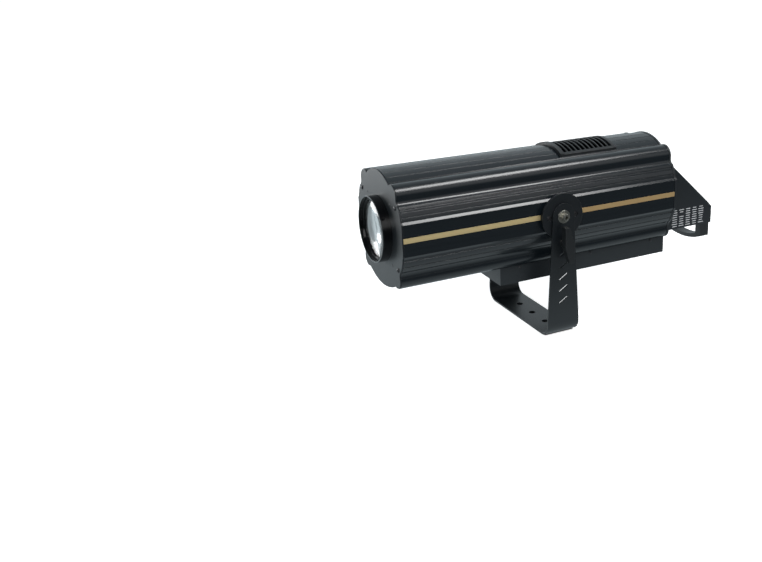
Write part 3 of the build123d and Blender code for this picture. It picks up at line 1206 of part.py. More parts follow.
# ================================================================ every node
NODES = {
    "yoke_strap": yoke_strap,
    "clamp_jaws": clamp_jaws,
    "clamp_studs": clamp_studs,
    "friction_washers": friction_washers,
    "wing_knob_right": lambda: wing_knob(1),
    "wing_knob_left": lambda: wing_knob(-1),
    "housing_extrusion": housing_extrusion,
    "front_plate": front_plate,
    "plate_screws": plate_screws,
    "lens_hood": lens_hood,
    "hood_rivets": hood_rivets,
    "accent_strips": accent_strips,
    "vent_cover": vent_cover,
    "rear_plate": rear_plate,
    "pivot_disc_right": lambda: pivot_disc(1),
    "pivot_disc_left": lambda: pivot_disc(-1),
    "pivot_bosses": pivot_bosses,
    "disc_screws": disc_screws,
    "pivot_washers": pivot_washers,
    "pivot_bolts": pivot_bolts,
    "pivot_nuts": pivot_nuts,
    "control_box": control_box,
    "control_panel": control_panel,
    "display_module": display_module,
    "control_board": control_board,
    "button_switches": button_switches,
    "power_switch_frame": power_switch_frame,
    "power_rocker": power_rocker,
    "mains_inlet": mains_inlet,
    "signal_sockets": signal_sockets,
    "rear_handle": rear_handle,
    "driver_tray": driver_tray,
    "tray_blocks": tray_blocks,
    "case_screws": case_screws,
    "led_drivers": led_drivers,
    "chassis_plate": chassis_plate,
    "front_bulkhead": front_bulkhead,
    "gate_bulkhead": gate_bulkhead,
    "guide_rods": guide_rods,
    "focus_motor": focus_motor,
    "wheel_motor": wheel_motor,
    "colour_wheel": colour_wheel,
    "colour_filters": colour_filters,
    "condenser_holder": condenser_holder,
    "condenser_lenses": condenser_lenses,
    "led_board": led_board,
    "heatsink": heatsink,
    "fan_frame": fan_frame,
    "fan_rotor": fan_rotor,
    "lens_barrel": lens_barrel,
    "front_lens": front_lens,
    "rear_lens": rear_lens,
    "lens_rings": lens_rings,
    "slide_bushes": slide_bushes,
    "focus_rack": focus_rack,
    "focus_pinion": focus_pinion,
}
for row, along in enumerate(BUTTON_ALONG):
    for column, across in enumerate(BUTTON_ACROSS):
        NODES[f"button_{2 * row + column + 1}"] = lambda a=along, b=across: push_button(a, b)

os.makedirs("parts", exist_ok=True)
for node, make in NODES.items():
    export_step(make(), f"parts/{node}.step")
print(len(NODES), "nodes")
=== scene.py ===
# %% [markdown]
# # A profile spotlight in a tilting yoke
# The lamp is a long extruded aluminium housing with a glossy lens hood in front, a control box behind
# and a folded steel yoke that carries it. The CAD model already has every part at its true size, so this
# script keeps those shapes, gives each one its finish, and models the screws, rivets and bolts in detail.
# First the model is loaded. Everything is in metres, with the origin in the middle of the yoke's foot.
# The plain materials that come with the model are renamed, so that the finishes can have the slots' names.

# %% Load the model
import json
from math import pi, radians

import bmesh
import bpy
from mathutils import Matrix, Vector


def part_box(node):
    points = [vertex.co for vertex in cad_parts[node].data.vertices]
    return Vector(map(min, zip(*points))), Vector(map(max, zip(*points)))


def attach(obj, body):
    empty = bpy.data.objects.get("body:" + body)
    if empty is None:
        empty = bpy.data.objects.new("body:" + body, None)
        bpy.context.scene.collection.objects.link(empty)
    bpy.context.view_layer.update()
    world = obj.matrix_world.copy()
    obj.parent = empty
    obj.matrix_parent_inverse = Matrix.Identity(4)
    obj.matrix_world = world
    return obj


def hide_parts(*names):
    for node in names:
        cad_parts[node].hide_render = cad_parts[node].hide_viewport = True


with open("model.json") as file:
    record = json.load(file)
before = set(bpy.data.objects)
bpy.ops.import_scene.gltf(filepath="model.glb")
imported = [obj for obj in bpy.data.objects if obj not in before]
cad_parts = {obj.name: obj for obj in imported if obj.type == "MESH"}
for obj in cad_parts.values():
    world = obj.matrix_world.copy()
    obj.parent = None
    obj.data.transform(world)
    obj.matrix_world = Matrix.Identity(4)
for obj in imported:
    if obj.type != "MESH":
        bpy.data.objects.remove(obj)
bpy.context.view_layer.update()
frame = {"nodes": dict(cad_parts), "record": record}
nodes = frame["nodes"]
for plain in bpy.data.materials:
    plain.name = "plain_" + plain.name

# %% [markdown]
# ## The camera
# A product picture of a long lamp is taken from in front and above, from about two metres away, so the
# lens, one flank and the crown all show. A camera can be aimed with a Track To constraint or turned by
# hand. Here three turns build its matrix: roll, tip and swing. The lens shift then slides the frame, which
# puts the lamp off the middle without changing its perspective.

# %% Camera
CAMERA_PLACE = Vector((1.5052, -0.85595, 0.73528))
SWING, TIP, ROLL = radians(59.843), radians(90 - 18.316), radians(-0.255)
SENSOR_MM, LENS_MM = 36.0, 45.17
SHIFT_X, SHIFT_Y = -0.20866, -0.06037       # in frame widths
camera_data = bpy.data.cameras.new("picture_camera")
camera_data.sensor_width, camera_data.lens = SENSOR_MM, LENS_MM
camera_data.shift_x, camera_data.shift_y = SHIFT_X, SHIFT_Y
camera = bpy.data.objects.new("picture_camera", camera_data)
turn = Matrix.Rotation(SWING, 4, "Z") @ Matrix.Rotation(TIP, 4, "X") @ Matrix.Rotation(ROLL, 4, "Z")
camera.matrix_world = Matrix.Translation(CAMERA_PLACE) @ turn
bpy.context.scene.collection.objects.link(camera)
bpy.context.scene.camera = camera
print("camera at", *CAMERA_PLACE)

# %% [markdown]
# ## Nodes without the clutter
# Every finish below is a node tree. Writing one out node by node hides what it does, so a few helpers keep
# it short: one places a node with its settings and links, three do the sums that come back everywhere, and
# one starts a node group.

# %% Node helpers
def place(tree, kind, inputs=None, **settings):
    """Adds a node to a tree with its settings, and with values or links on its inputs."""
    node = tree.nodes.new(kind)
    for name, value in settings.items():
        setattr(node, name, value)
    for name, value in (inputs or {}).items():
        if isinstance(value, bpy.types.NodeSocket):
            tree.links.new(value, node.inputs[name])
        else:
            node.inputs[name].default_value = value
    return node


def calculate(tree, operation, *values, clamp=False):
    """A Math node's result."""
    terms = dict(enumerate(values))
    return place(tree, "ShaderNodeMath", terms, operation=operation, use_clamp=clamp).outputs[0]


def remap(tree, value, low, high, to_low=0.0, to_high=1.0):
    """Stretches low..high to to_low..to_high, clamped."""
    ends = {0: value, 1: low, 2: high, 3: to_low, 4: to_high}
    return place(tree, "ShaderNodeMapRange", ends).outputs[0]


def split(tree, vector):
    """The X, Y and Z of a vector."""
    return place(tree, "ShaderNodeSeparateXYZ", {0: vector}).outputs


def new_group(name, kind, inputs, outputs):
    """A node group with named sockets, and its input and output nodes."""
    tree = bpy.data.node_groups.new(name, kind)
    for label, socket_type, default in inputs:
        socket = tree.interface.new_socket(name=label, in_out="INPUT", socket_type=socket_type)
        if default is not None:
            socket.default_value = default
    for label, socket_type in outputs:
        tree.interface.new_socket(name=label, in_out="OUTPUT", socket_type=socket_type)
    return tree, tree.nodes.new("NodeGroupInput").outputs, tree.nodes.new("NodeGroupOutput").inputs


# %% [markdown]
# ## What paint and metal have in common
# Three effects come back in almost every finish, so each is a node group that is built once:
# a grain, stretched along the way the metal was drawn or brushed; a rounded edge, because no folded or
# sawn edge is a razor, and the line of light along it is what makes a dark object readable; and the dust
# that settles on upward faces.

# %% Shared groups
SHADER = "ShaderNodeTree"
VALUE, VECTOR = "NodeSocketFloat", "NodeSocketVector"

grain, given, out = new_group(
    "Grain", SHADER, [("Cells per metre", VECTOR, (900, 900, 900)), ("Detail", VALUE, 3.0)],
    [("Tone", VALUE), ("Height", VALUE)])
spot = place(grain, "ShaderNodeTexCoord").outputs["Object"]
cells = place(grain, "ShaderNodeVectorMath", {0: spot, 1: given["Cells per metre"]}, operation="MULTIPLY")
noise = place(grain, "ShaderNodeTexNoise", {"Vector": cells.outputs[0], "Scale": 1.0, "Detail": given["Detail"]})
grain.links.new(noise.outputs[0], out["Tone"])
grain.links.new(remap(grain, noise.outputs[0], 0.3, 0.7), out["Height"])

# The Edge mask is what the finishes use to paint a lighter colour along the edges, a painted highlight.
edges, given, out = new_group(
    "Rounded edges", SHADER, [("Radius", VALUE, 0.0006), ("Gain", VALUE, 3.0)],
    [("Normal", VECTOR), ("Edge", VALUE)])
bevel = place(edges, "ShaderNodeBevel", {"Radius": given["Radius"]}, samples=6)
true_normal = place(edges, "ShaderNodeNewGeometry").outputs["Normal"]
facing = place(edges, "ShaderNodeVectorMath", {0: bevel.outputs[0], 1: true_normal}, operation="DOT_PRODUCT")
bend = calculate(edges, "SUBTRACT", 1.0, facing.outputs["Value"])
edges.links.new(bevel.outputs[0], out["Normal"])
edges.links.new(calculate(edges, "MULTIPLY", bend, given["Gain"], clamp=True), out["Edge"])

dust, given, out = new_group(
    "Settled dust", SHADER, [("Amount", VALUE, 0.5)], [("Mask", VALUE)])
coords = place(dust, "ShaderNodeTexCoord")
upward = remap(dust, split(dust, coords.outputs["Normal"])[2], 0.1, 1.0)
cloud = place(dust, "ShaderNodeTexNoise", {"Vector": coords.outputs["Object"], "Scale": 22.0, "Detail": 6.0})
patchy = remap(dust, cloud.outputs[0], 0.35, 0.75)
settled = calculate(dust, "MULTIPLY", calculate(dust, "MULTIPLY", upward, patchy), given["Amount"])
dust.links.new(settled, out["Mask"])
print("shared groups:", grain.name, edges.name, dust.name)

# %% [markdown]
# ## A paint shop
# All the black parts are the same idea at different settings: a base colour that the dust lightens and
# that is painted lighter along the rounded edges as a painted highlight, a roughness that the grain
# disturbs, and a small bump from the grain on top of the rounded edge. The constants go straight on the
# shader's own sockets, and only what changes over the surface is linked. The metals and plastics use the
# same function.

# %% Finish helpers
def use(tree, group_tree, **inputs):
    """Places one of the shared groups and returns its outputs."""
    labels = {label.replace("_", " "): value for label, value in inputs.items()}
    return place(tree, "ShaderNodeGroup", labels, node_tree=group_tree).outputs


def blend_colours(tree, amount, first, second):
    """A mix of two colours."""
    node = place(tree, "ShaderNodeMix", {"Factor": amount}, data_type="RGBA")
    for index, value in ((6, first), (7, second)):
        if isinstance(value, bpy.types.NodeSocket):
            tree.links.new(value, node.inputs[index])
        else:
            node.inputs[index].default_value = (*value[:3], 1.0)
    return node.outputs[2]


def new_finish(name):
    """An empty material, its tree and its Principled shader."""
    material = bpy.data.materials.new(name)
    material.use_nodes = True
    tree = material.node_tree
    shader = tree.nodes["Principled BSDF"]
    return material, tree, shader


DUST_COLOUR = (0.22, 0.215, 0.2)
DARKER, LIGHTER = 0.75, 1.3      # how far the grain swings the base colour
# The first of these is how far the rounded edges are painted towards the lighter edge colour, a painted
# highlight.
EDGE_HIGHLIGHT, DUST_ROUGHENS, RELIEF = 0.6, 0.5, 0.6


def solid_finish(name, colour, edge_highlight, roughness, cells, bump, radius=0.0005, dusty=0.0, swing=0.08, detail=3.0,
                 **constants):
    """Paint, plastic or bare metal: grain, rounded edges painted a lighter colour as a painted highlight, and
    dust.
    """
    material, tree, shader = new_finish(name)
    for label, value in constants.items():
        shader.inputs[label.replace("_", " ")].default_value = value
    texture = use(tree, grain, Cells_per_metre=cells, Detail=detail)
    rim = use(tree, edges, Radius=radius)
    darker = tuple(DARKER * c for c in colour)
    lighter = tuple(min(1.0, LIGHTER * c) for c in colour)
    base = blend_colours(tree, texture["Tone"], darker, lighter)
    # Painted highlight: the rounded edges are blended towards a lighter colour.
    base = blend_colours(tree, calculate(tree, "MULTIPLY", rim["Edge"], EDGE_HIGHLIGHT), base, edge_highlight)
    rough = remap(tree, texture["Tone"], 0.25, 0.75, roughness - swing, roughness + swing)
    if dusty:
        film = use(tree, dust, Amount=dusty)["Mask"]
        base = blend_colours(tree, film, base, DUST_COLOUR)
        rough = calculate(tree, "ADD", rough, calculate(tree, "MULTIPLY", film, DUST_ROUGHENS), clamp=True)
    tree.links.new(base, shader.inputs["Base Color"])
    tree.links.new(rough, shader.inputs["Roughness"])
    relief = place(tree, "ShaderNodeBump",
                   {"Strength": RELIEF, "Distance": bump, "Height": texture["Height"], "Normal": rim["Normal"]})
    tree.links.new(relief.outputs[0], shader.inputs["Normal"])
    return material


# %% [markdown]
# ## The black finishes
# The housing is drawn aluminium with a satin black anodised skin: its grain runs along the beam, which is
# Y here, so it has many cells per metre across and very few along. Folded sheet parts and the yoke are
# powder coated, with a fine round orange peel. The hood is spun and lacquered to a gloss. Moulded parts
# have a fine spark-eroded texture. Each is one call with its own numbers.

# %% Black finishes
# Grains, in cells per metre along X, Y and Z.
DRAWN = (520.0, 0.15, 520.0)
PEEL = (1500.0, 1500.0, 1500.0)
SPARK = (2600.0, 2600.0, 2600.0)
SPUN = (260.0, 2200.0, 260.0)

# The second colour of each finish is the lighter colour painted on its rounded edges as a painted highlight.
extrusion_black = solid_finish(
    "extrusion_black", (0.0048, 0.0074, 0.0098), (0.08, 0.09, 0.10), 0.24, DRAWN, 0.000008,
    radius=0.0006, dusty=0.003, swing=0.015, detail=1.0)
sheet_black = solid_finish(
    "sheet_black", (0.0082, 0.0106, 0.013), (0.09, 0.095, 0.10), 0.40, PEEL, 0.00004,
    radius=0.0005, dusty=0.01)
yoke_black = solid_finish(
    "yoke_black", (0.0044, 0.0062, 0.008), (0.07, 0.075, 0.08), 0.38, PEEL, 0.00003,
    radius=0.0006, dusty=0.01)
hood_black = solid_finish(
    "hood_black", (0.0016, 0.0018, 0.0024), (0.02, 0.022, 0.025), 0.15, SPUN, 0.000004,
    radius=0.0006, swing=0.03, Coat_Weight=0.3, Coat_Roughness=0.06)
moulded_black = solid_finish(
    "moulded_black", (0.0065, 0.0078, 0.009), (0.06, 0.062, 0.065), 0.42, SPARK, 0.00004,
    radius=0.0006, dusty=0.01)
gloss_black = solid_finish(
    "gloss_black", (0.012, 0.012, 0.0125), (0.03, 0.03, 0.03), 0.22, SPARK, 0.00001,
    radius=0.0005, swing=0.04)
print("black finishes made: 6")

# %% [markdown]
# ## Metals, print and boards
# The metal parts only swap a dark base for a metallic one. Bolts and washers are turned, so their grain is
# short; the gold strip is an anodised foil with the same drawn grain as the metal under it. Its front run is
# pale gold and its rear run bronze, so the finished base colour is taken off the shader and blended along Y.

# %% Metal and other solid finishes
gold_strip = solid_finish(
    "gold_strip", (0.62, 0.49, 0.25), (0.7, 0.58, 0.34), 0.36, DRAWN, 0.000004,
    radius=0.0002, swing=0.06, Metallic=0.45)
tree = gold_strip.node_tree
gold_shader = tree.nodes["Principled BSDF"]
pale_gold = gold_shader.inputs["Base Color"].links[0].from_socket
along = split(tree, place(tree, "ShaderNodeTexCoord").outputs["Object"])[1]
BRONZE_FROM, BRONZE_FULL = -0.02, 0.06      # along Y; the change hides behind the pivot disc
bronze = blend_colours(tree, remap(tree, along, BRONZE_FROM, BRONZE_FULL), pale_gold, (0.50, 0.34, 0.16))
tree.links.new(bronze, gold_shader.inputs["Base Color"])
bright_steel = solid_finish(
    "bright_steel", (0.34, 0.335, 0.30), (0.75, 0.74, 0.70), 0.30, (3000.0, 900.0, 900.0), 0.00002,
    radius=0.0003, Metallic=1.0)
dark_steel = solid_finish(
    "dark_steel", (0.045, 0.045, 0.048), (0.3, 0.3, 0.31), 0.34, (900.0, 900.0, 900.0), 0.00003,
    radius=0.0003, Metallic=0.8)
plain_aluminium = solid_finish(
    "plain_aluminium", (0.62, 0.63, 0.65), (0.85, 0.86, 0.88), 0.38, DRAWN, 0.00003,
    radius=0.0003, Metallic=1.0)
brass_bush = solid_finish(
    "brass_bush", (0.62, 0.46, 0.2), (0.85, 0.7, 0.4), 0.3, (600.0, 2400.0, 600.0), 0.00002,
    radius=0.0003, Metallic=1.0)
fibre = solid_finish(
    "fibre", (0.11, 0.085, 0.06), (0.2, 0.16, 0.12), 0.7, (2400.0, 700.0, 700.0), 0.00008, radius=0.0003)
led_face = solid_finish(
    "led_face", (0.72, 0.52, 0.1), (0.8, 0.7, 0.3), 0.4, (1800.0, 1800.0, 1800.0), 0.00003,
    radius=0.0002)
display_glass = solid_finish(
    "display_glass", (0.006, 0.009, 0.014), (0.03, 0.035, 0.04), 0.12, (300.0, 300.0, 300.0), 0.000005,
    radius=0.0003, swing=0.03, Coat_Weight=0.5, Coat_Roughness=0.03)

circuit_green, tree, shader = new_finish("circuit_green")
spot = place(tree, "ShaderNodeTexCoord").outputs["Object"]
tracks = place(tree, "ShaderNodeTexVoronoi", {"Vector": spot, "Scale": 160.0}, distance="MANHATTAN",
               feature="DISTANCE_TO_EDGE")
copper = remap(tree, tracks.outputs["Distance"], 0.04, 0.07, 1.0, 0.0)
mask = blend_colours(tree, copper, (0.012, 0.07, 0.032), (0.03, 0.15, 0.06))
tree.links.new(mask, shader.inputs["Base Color"])
tree.links.new(remap(tree, copper, 0.0, 1.0, 0.35, 0.22), shader.inputs["Roughness"])
relief = place(tree, "ShaderNodeBump", {"Strength": 0.5, "Distance": 0.00004, "Height": copper})
tree.links.new(relief.outputs[0], shader.inputs["Normal"])
print("solid finishes made: 9")

# %% [markdown]
# ## Glass
# A lens is clear glass with a dielectric coating: what makes it read as a lens is its curve, so it gets real
# refraction and a very smooth surface, with only a trace of handling haze in the roughness. The colour
# wheel's filters are the same glass, tinted a patch at a time.

# %% Glass finishes
lens_glass, tree, shader = new_finish("lens_glass")
shader.inputs["Base Color"].default_value = (0.97, 0.985, 0.99, 1.0)
shader.inputs["Transmission Weight"].default_value = 1.0
shader.inputs["IOR"].default_value = 1.52
haze = use(tree, grain, Cells_per_metre=(60.0, 60.0, 60.0), Detail=5.0)["Tone"]
tree.links.new(remap(tree, haze, 0.4, 0.8, 0.09, 0.14), shader.inputs["Roughness"])

filter_glass, tree, shader = new_finish("filter_glass")
shader.inputs["Transmission Weight"].default_value = 0.9
shader.inputs["IOR"].default_value = 1.5
spot = place(tree, "ShaderNodeTexCoord").outputs["Object"]
patches = place(tree, "ShaderNodeTexVoronoi", {"Vector": spot, "Scale": 22.0, "Randomness": 1.0})
tint = place(tree, "ShaderNodeHueSaturation",
             {"Saturation": 1.6, "Value": 0.9, "Color": patches.outputs["Color"]})
tree.links.new(tint.outputs[0], shader.inputs["Base Color"])
haze = use(tree, grain, Cells_per_metre=(90.0, 90.0, 90.0), Detail=4.0)["Tone"]
tree.links.new(remap(tree, haze, 0.4, 0.8, 0.02, 0.08), shader.inputs["Roughness"])
print("glass finishes made: 2")

# %% [markdown]
# ## Painting the parts
# The record says which slot each CAD part takes its finish from, and the finishes above have the same
# names. A part's mesh is left alone: only the material in its slot is changed, on the object.

# %% Finishes on the CAD parts
finishes = {m.name: m for m in (
    extrusion_black, sheet_black, yoke_black, hood_black, moulded_black, gloss_black, gold_strip, bright_steel,
    dark_steel, plain_aluminium, brass_bush, fibre, led_face, display_glass, circuit_green, lens_glass,
    filter_glass)}
slot_of = {part["node"]: part["material_slot"] for part in frame["record"]["subparts"]}
for name, part in nodes.items():
    for slot in part.material_slots:
        slot.link = "OBJECT"
        slot.material = finishes[slot_of[name]]
print("parts painted:", len(slot_of))

# %% [markdown]
# ## Where the fasteners sit
# The CAD screws are plain solids: a head, a shank and a socket. They are in the right places, so this step
# only reads them. Each part's mesh is split into its separate solids, and each solid gives up its seat, the
# way its head faces, and the sizes of its head and shank. The widest corners belong to the head, so the side
# that they are on is the side that the head faces.

# %% Reading the CAD fasteners
SAME_POINT = 1e-6
RIM_SHARE = 0.93        # corners beyond this share of the radius belong to the head
SHANK_SHARE = 0.2       # corners beyond this share of the reach belong to the shank


def separate_solids(name):
    """Corner positions of every separate solid in a CAD part."""
    merged = bmesh.new()
    merged.from_mesh(nodes[name].data)
    bmesh.ops.remove_doubles(merged, verts=merged.verts, dist=SAME_POINT)
    waiting = set(merged.verts)
    solids = []
    while waiting:
        frontier = [waiting.pop()]
        solid = []
        while frontier:
            corner = frontier.pop()
            solid.append(corner.co.copy())
            for edge in corner.link_edges:
                neighbour = edge.other_vert(corner)
                if neighbour in waiting:
                    waiting.remove(neighbour)
                    frontier.append(neighbour)
        solids.append(solid)
    merged.free()
    return solids


def fastener(solid):
    """Seat, facing, head (radius, radius, height) and shank (radius, radius, reach) of one solid."""
    low = Vector([min(corner[i] for corner in solid) for i in range(3)])
    high = Vector([max(corner[i] for corner in solid) for i in range(3)])
    size, middle = high - low, (high + low) / 2
    axis = min(range(3), key=lambda i: abs(size[i - 1] - size[i - 2]))
    radius = size[axis - 1] / 2
    rim = []
    for corner in solid:
        offset = corner - middle
        offset[axis] = 0
        if offset.length > RIM_SHARE * radius:
            rim.append(corner[axis])
    outward = 1 if sum(rim) / len(rim) > middle[axis] else -1
    seat_level = min(rim) if outward > 0 else max(rim)
    top, tip = (high[axis], low[axis]) if outward > 0 else (low[axis], high[axis])
    seat, facing = middle.copy(), Vector((0, 0, 0))
    seat[axis], facing[axis] = seat_level, outward
    height, reach = abs(top - seat_level), abs(seat_level - tip)
    stem = 0.0
    for corner in solid:
        offset = corner - middle
        offset[axis] = 0
        if (seat_level - corner[axis]) * outward > SHANK_SHARE * reach:
            stem = max(stem, offset.length)
    return seat, facing, Vector((radius, radius, height)), Vector((stem, stem, reach))


fasteners = {name: [fastener(solid) for solid in separate_solids(name)]
             for name in ("plate_screws", "disc_screws", "case_screws", "hood_rivets", "pivot_bolts")}
print("fasteners found:", {name: len(rows) for name, rows in fasteners.items()})

# %% [markdown]
# ## Heads and shanks
# A screw head is a turned shape: a round top, a rolled edge and a socket pressed in. It could be lathed from
# a profile, but the same few sizes come back on every screw, so one Geometry Nodes tree makes them all. A
# cylinder of one unit is domed, its edge is rolled in, ridges are pressed round it where a bolt is knurled,
# and a hexagon is cut out. Copies go to the seats, turned and sized by what each seat asks for.

# %% The fastener tree
GEOMETRY, WHOLE, MATERIAL = "NodeSocketGeometry", "NodeSocketInt", "NodeSocketMaterial"
ROLL_SHARPNESS = 6.0        # a higher power keeps the rolled edge nearer to the top
SHANK_SIDES = 20
heads, given, out = new_group(
    "Fasteners", "GeometryNodeTree",
    [("Seats", GEOMETRY, None), ("Sides", WHOLE, 32), ("Crown", VALUE, 0.2), ("Roll", VALUE, 0.14),
     ("Ridges", VALUE, 24.0), ("Ridge depth", VALUE, 0.0), ("Socket radius", VALUE, 0.4),
     ("Socket depth", VALUE, 0.55), ("Finish", MATERIAL, None)],
    [("Fasteners", GEOMETRY)])


def unit_cylinder(tree, sides, rows, rings, radius, shift):
    """A cylinder one unit long, with its middle at a height."""
    settings = {"Vertices": sides, "Side Segments": rows, "Fill Segments": rings, "Radius": radius, "Depth": 1.0}
    solid = place(tree, "GeometryNodeMeshCylinder", settings)
    spot = place(tree, "ShaderNodeCombineXYZ", {2: shift}).outputs[0]
    moved = place(tree, "GeometryNodeTransform", {"Geometry": solid.outputs["Mesh"], "Translation": spot})
    return moved.outputs[0]


blank = unit_cylinder(heads, given["Sides"], 8, 5, 1.0, 0.5)
here = split(heads, place(heads, "GeometryNodeInputPosition").outputs[0])
squared = calculate(heads, "ADD", calculate(heads, "MULTIPLY", here[0], here[0]),
                    calculate(heads, "MULTIPLY", here[1], here[1]))
sink = calculate(heads, "MULTIPLY", calculate(heads, "MULTIPLY", squared, here[2]), given["Crown"])
rolled = calculate(heads, "MULTIPLY", calculate(heads, "POWER", here[2], ROLL_SHARPNESS), given["Roll"])
angle = calculate(heads, "ARCTAN2", here[1], here[0])
wave = calculate(heads, "SINE", calculate(heads, "MULTIPLY", angle, given["Ridges"]))
pressed = calculate(heads, "MULTIPLY", calculate(heads, "ADD", wave, 1.0), given["Ridge depth"])
keep = calculate(heads, "MULTIPLY", calculate(heads, "SUBTRACT", 1.0, rolled),
                 calculate(heads, "SUBTRACT", 1.0, pressed))
turned = place(heads, "ShaderNodeCombineXYZ", {
    0: calculate(heads, "MULTIPLY", here[0], keep), 1: calculate(heads, "MULTIPLY", here[1], keep),
    2: calculate(heads, "SUBTRACT", here[2], sink)}).outputs[0]
shaped = place(heads, "GeometryNodeSetPosition", {"Geometry": blank, "Position": turned}).outputs[0]
punch_middle = calculate(heads, "SUBTRACT", 1.5, given["Socket depth"])     # half a unit above its floor
punch = unit_cylinder(heads, 6, 1, 1, given["Socket radius"], punch_middle)
cut = place(heads, "GeometryNodeMeshBoolean", {"Mesh 1": shaped, "Mesh 2": punch}, operation="DIFFERENCE")
shank = unit_cylinder(heads, SHANK_SIDES, 1, 1, 1.0, -0.5)


def named(tree, name):
    """A vector stored on the seats."""
    return place(tree, "GeometryNodeInputNamedAttribute", {"Name": name}, data_type="FLOAT_VECTOR").outputs[0]


aim = place(heads, "FunctionNodeAlignRotationToVector", {"Vector": named(heads, "facing")}, axis="Z").outputs[0]
together = place(heads, "GeometryNodeJoinGeometry")
for shape, size in ((cut.outputs["Mesh"], "head"), (shank, "shank")):
    copies = place(heads, "GeometryNodeInstanceOnPoints", {
        "Points": given["Seats"], "Instance": shape, "Rotation": aim, "Scale": named(heads, size)})
    heads.links.new(copies.outputs[0], together.inputs[0])
real = place(heads, "GeometryNodeRealizeInstances", {"Geometry": together.outputs[0]}).outputs[0]
finished = place(heads, "GeometryNodeSetMaterial", {"Geometry": real, "Material": given["Finish"]})
heads.links.new(finished.outputs[0], out["Fasteners"])
print("fastener tree nodes:", len(heads.nodes))

# %% [markdown]
# ## From a tree to a piece
# A Geometry Nodes modifier makes its mesh only while Blender is open. The finished piece has to be a plain
# mesh that rides on its body, so the result is copied out, and the object that carried the modifier goes.

# %% Baking a tree into a piece
def seat_points(name, rows):
    """An object of loose points that carry the facing and the sizes of their fasteners."""
    mesh = bpy.data.meshes.new(name + "_seats")
    mesh.from_pydata([row[0] for row in rows], [], [])
    for index, label in ((1, "facing"), (2, "head"), (3, "shank")):
        layer = mesh.attributes.new(label, "FLOAT_VECTOR", "POINT")
        for point, row in zip(layer.data, rows):
            point.vector = row[index]
    carrier = bpy.data.objects.new(name + "_seats", mesh)
    bpy.context.scene.collection.objects.link(carrier)
    return carrier


def grow(name, carrier, tree, body, stands_for, slot_name, **inputs):
    """Runs a tree on a carrier, keeps the plain mesh, and gives it to a body."""
    modifier = carrier.modifiers.new("grow", "NODES")
    modifier.node_group = tree
    for item in tree.interface.items_tree:
        if item.in_out == "INPUT" and item.name.replace(" ", "_") in inputs:
            modifier[item.identifier] = inputs[item.name.replace(" ", "_")]
    ready = carrier.evaluated_get(bpy.context.evaluated_depsgraph_get())
    mesh = bpy.data.meshes.new_from_object(ready)
    carrier_mesh = carrier.data
    bpy.data.objects.remove(carrier)
    bpy.data.meshes.remove(carrier_mesh)
    mesh.name = name
    piece = bpy.data.objects.new(name, mesh)
    bpy.context.scene.collection.objects.link(piece)
    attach(piece, body)
    if stands_for:
        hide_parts(stands_for)
    print(name, "faces:", len(mesh.polygons))
    return piece


head_shapes = {
    "plate_screws": dict(Sides=32, Crown=0.25, Roll=0.2, Socket_radius=0.36),
    "disc_screws": dict(Sides=32, Crown=0.2, Roll=0.18, Socket_radius=0.36),
    "case_screws": dict(Sides=32, Crown=0.25, Roll=0.2, Socket_radius=0.36),
    "hood_rivets": dict(Sides=24, Crown=0.45, Roll=0.25, Socket_depth=-0.5),        # no socket
    "pivot_bolts": dict(Sides=144, Crown=0.02, Roll=0.1, Ridges=36.0, Ridge_depth=0.018, Socket_radius=0.5,
                        Socket_depth=0.8)}
for node, shape in head_shapes.items():
    carrier = seat_points(node, fasteners[node])
    finish = "dark_steel" if node == "case_screws" else slot_of[node]
    low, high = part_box(node)
    piece = grow("detailed_" + node, carrier, heads, "housing", node, finish, Finish=finishes[finish], **shape)
    ends = [[end(corner.co[i] for corner in piece.data.vertices) for i in range(3)] for end in (min, max)]
    gap = max(abs(ends[side][i] - (low, high)[side][i]) for side in (0, 1) for i in range(3))
    print("    furthest from the CAD box:", round(1000 * gap, 3), "mm")

# %% [markdown]
# ## The printed plate
# The side of the control box carries a block of small white print. No words are drawn here: rows of short
# bars of chance length stand in for the lines, each a hair above the paint. A grid of points with one bar on
# each does it, and the bars take their lengths from a random node with a fixed seed. The shortest bars are
# left out, which breaks the rows into words. The tree makes everything itself, so its carrier is one point.

# %% Print on the control box
SHORTEST, LONGEST, LEFT_OUT = 0.62, 1.0, 0.66     # bar lengths, as shares of the pitch
INK = 0.00004
print_tree, given, out = new_group(
    "Print", "GeometryNodeTree",
    [("Carrier", GEOMETRY, None), ("Rows", WHOLE, 8), ("Columns", WHOLE, 5), ("Width", VALUE, 0.066),
     ("Height", VALUE, 0.033), ("Bar", VALUE, 0.0013), ("Seed", WHOLE, 5), ("Place", VECTOR, (0, 0, 0)),
     ("Finish", MATERIAL, None)],
    [("Print", GEOMETRY)])
lines = place(print_tree, "GeometryNodeMeshGrid", {
    "Size X": given["Width"], "Size Y": given["Height"],
    "Vertices X": given["Columns"], "Vertices Y": given["Rows"]})
chance = place(print_tree, "FunctionNodeRandomValue", {2: SHORTEST, 3: LONGEST, "Seed": given["Seed"]},
               data_type="FLOAT")
pitch = calculate(print_tree, "DIVIDE", given["Width"], given["Columns"])
length = calculate(print_tree, "MULTIPLY", chance.outputs[1], pitch)
shown = calculate(print_tree, "GREATER_THAN", chance.outputs[1], LEFT_OUT)
bar_size = place(print_tree, "ShaderNodeCombineXYZ", {0: length, 1: given["Bar"], 2: INK}).outputs[0]
bar = place(print_tree, "GeometryNodeMeshCube", {"Size": (1.0, 1.0, 1.0)})
row_points = place(print_tree, "GeometryNodeMeshToPoints", {"Mesh": lines.outputs["Mesh"], "Selection": shown})
bars = place(print_tree, "GeometryNodeInstanceOnPoints", {
    "Points": row_points.outputs[0], "Instance": bar.outputs["Mesh"], "Scale": bar_size})
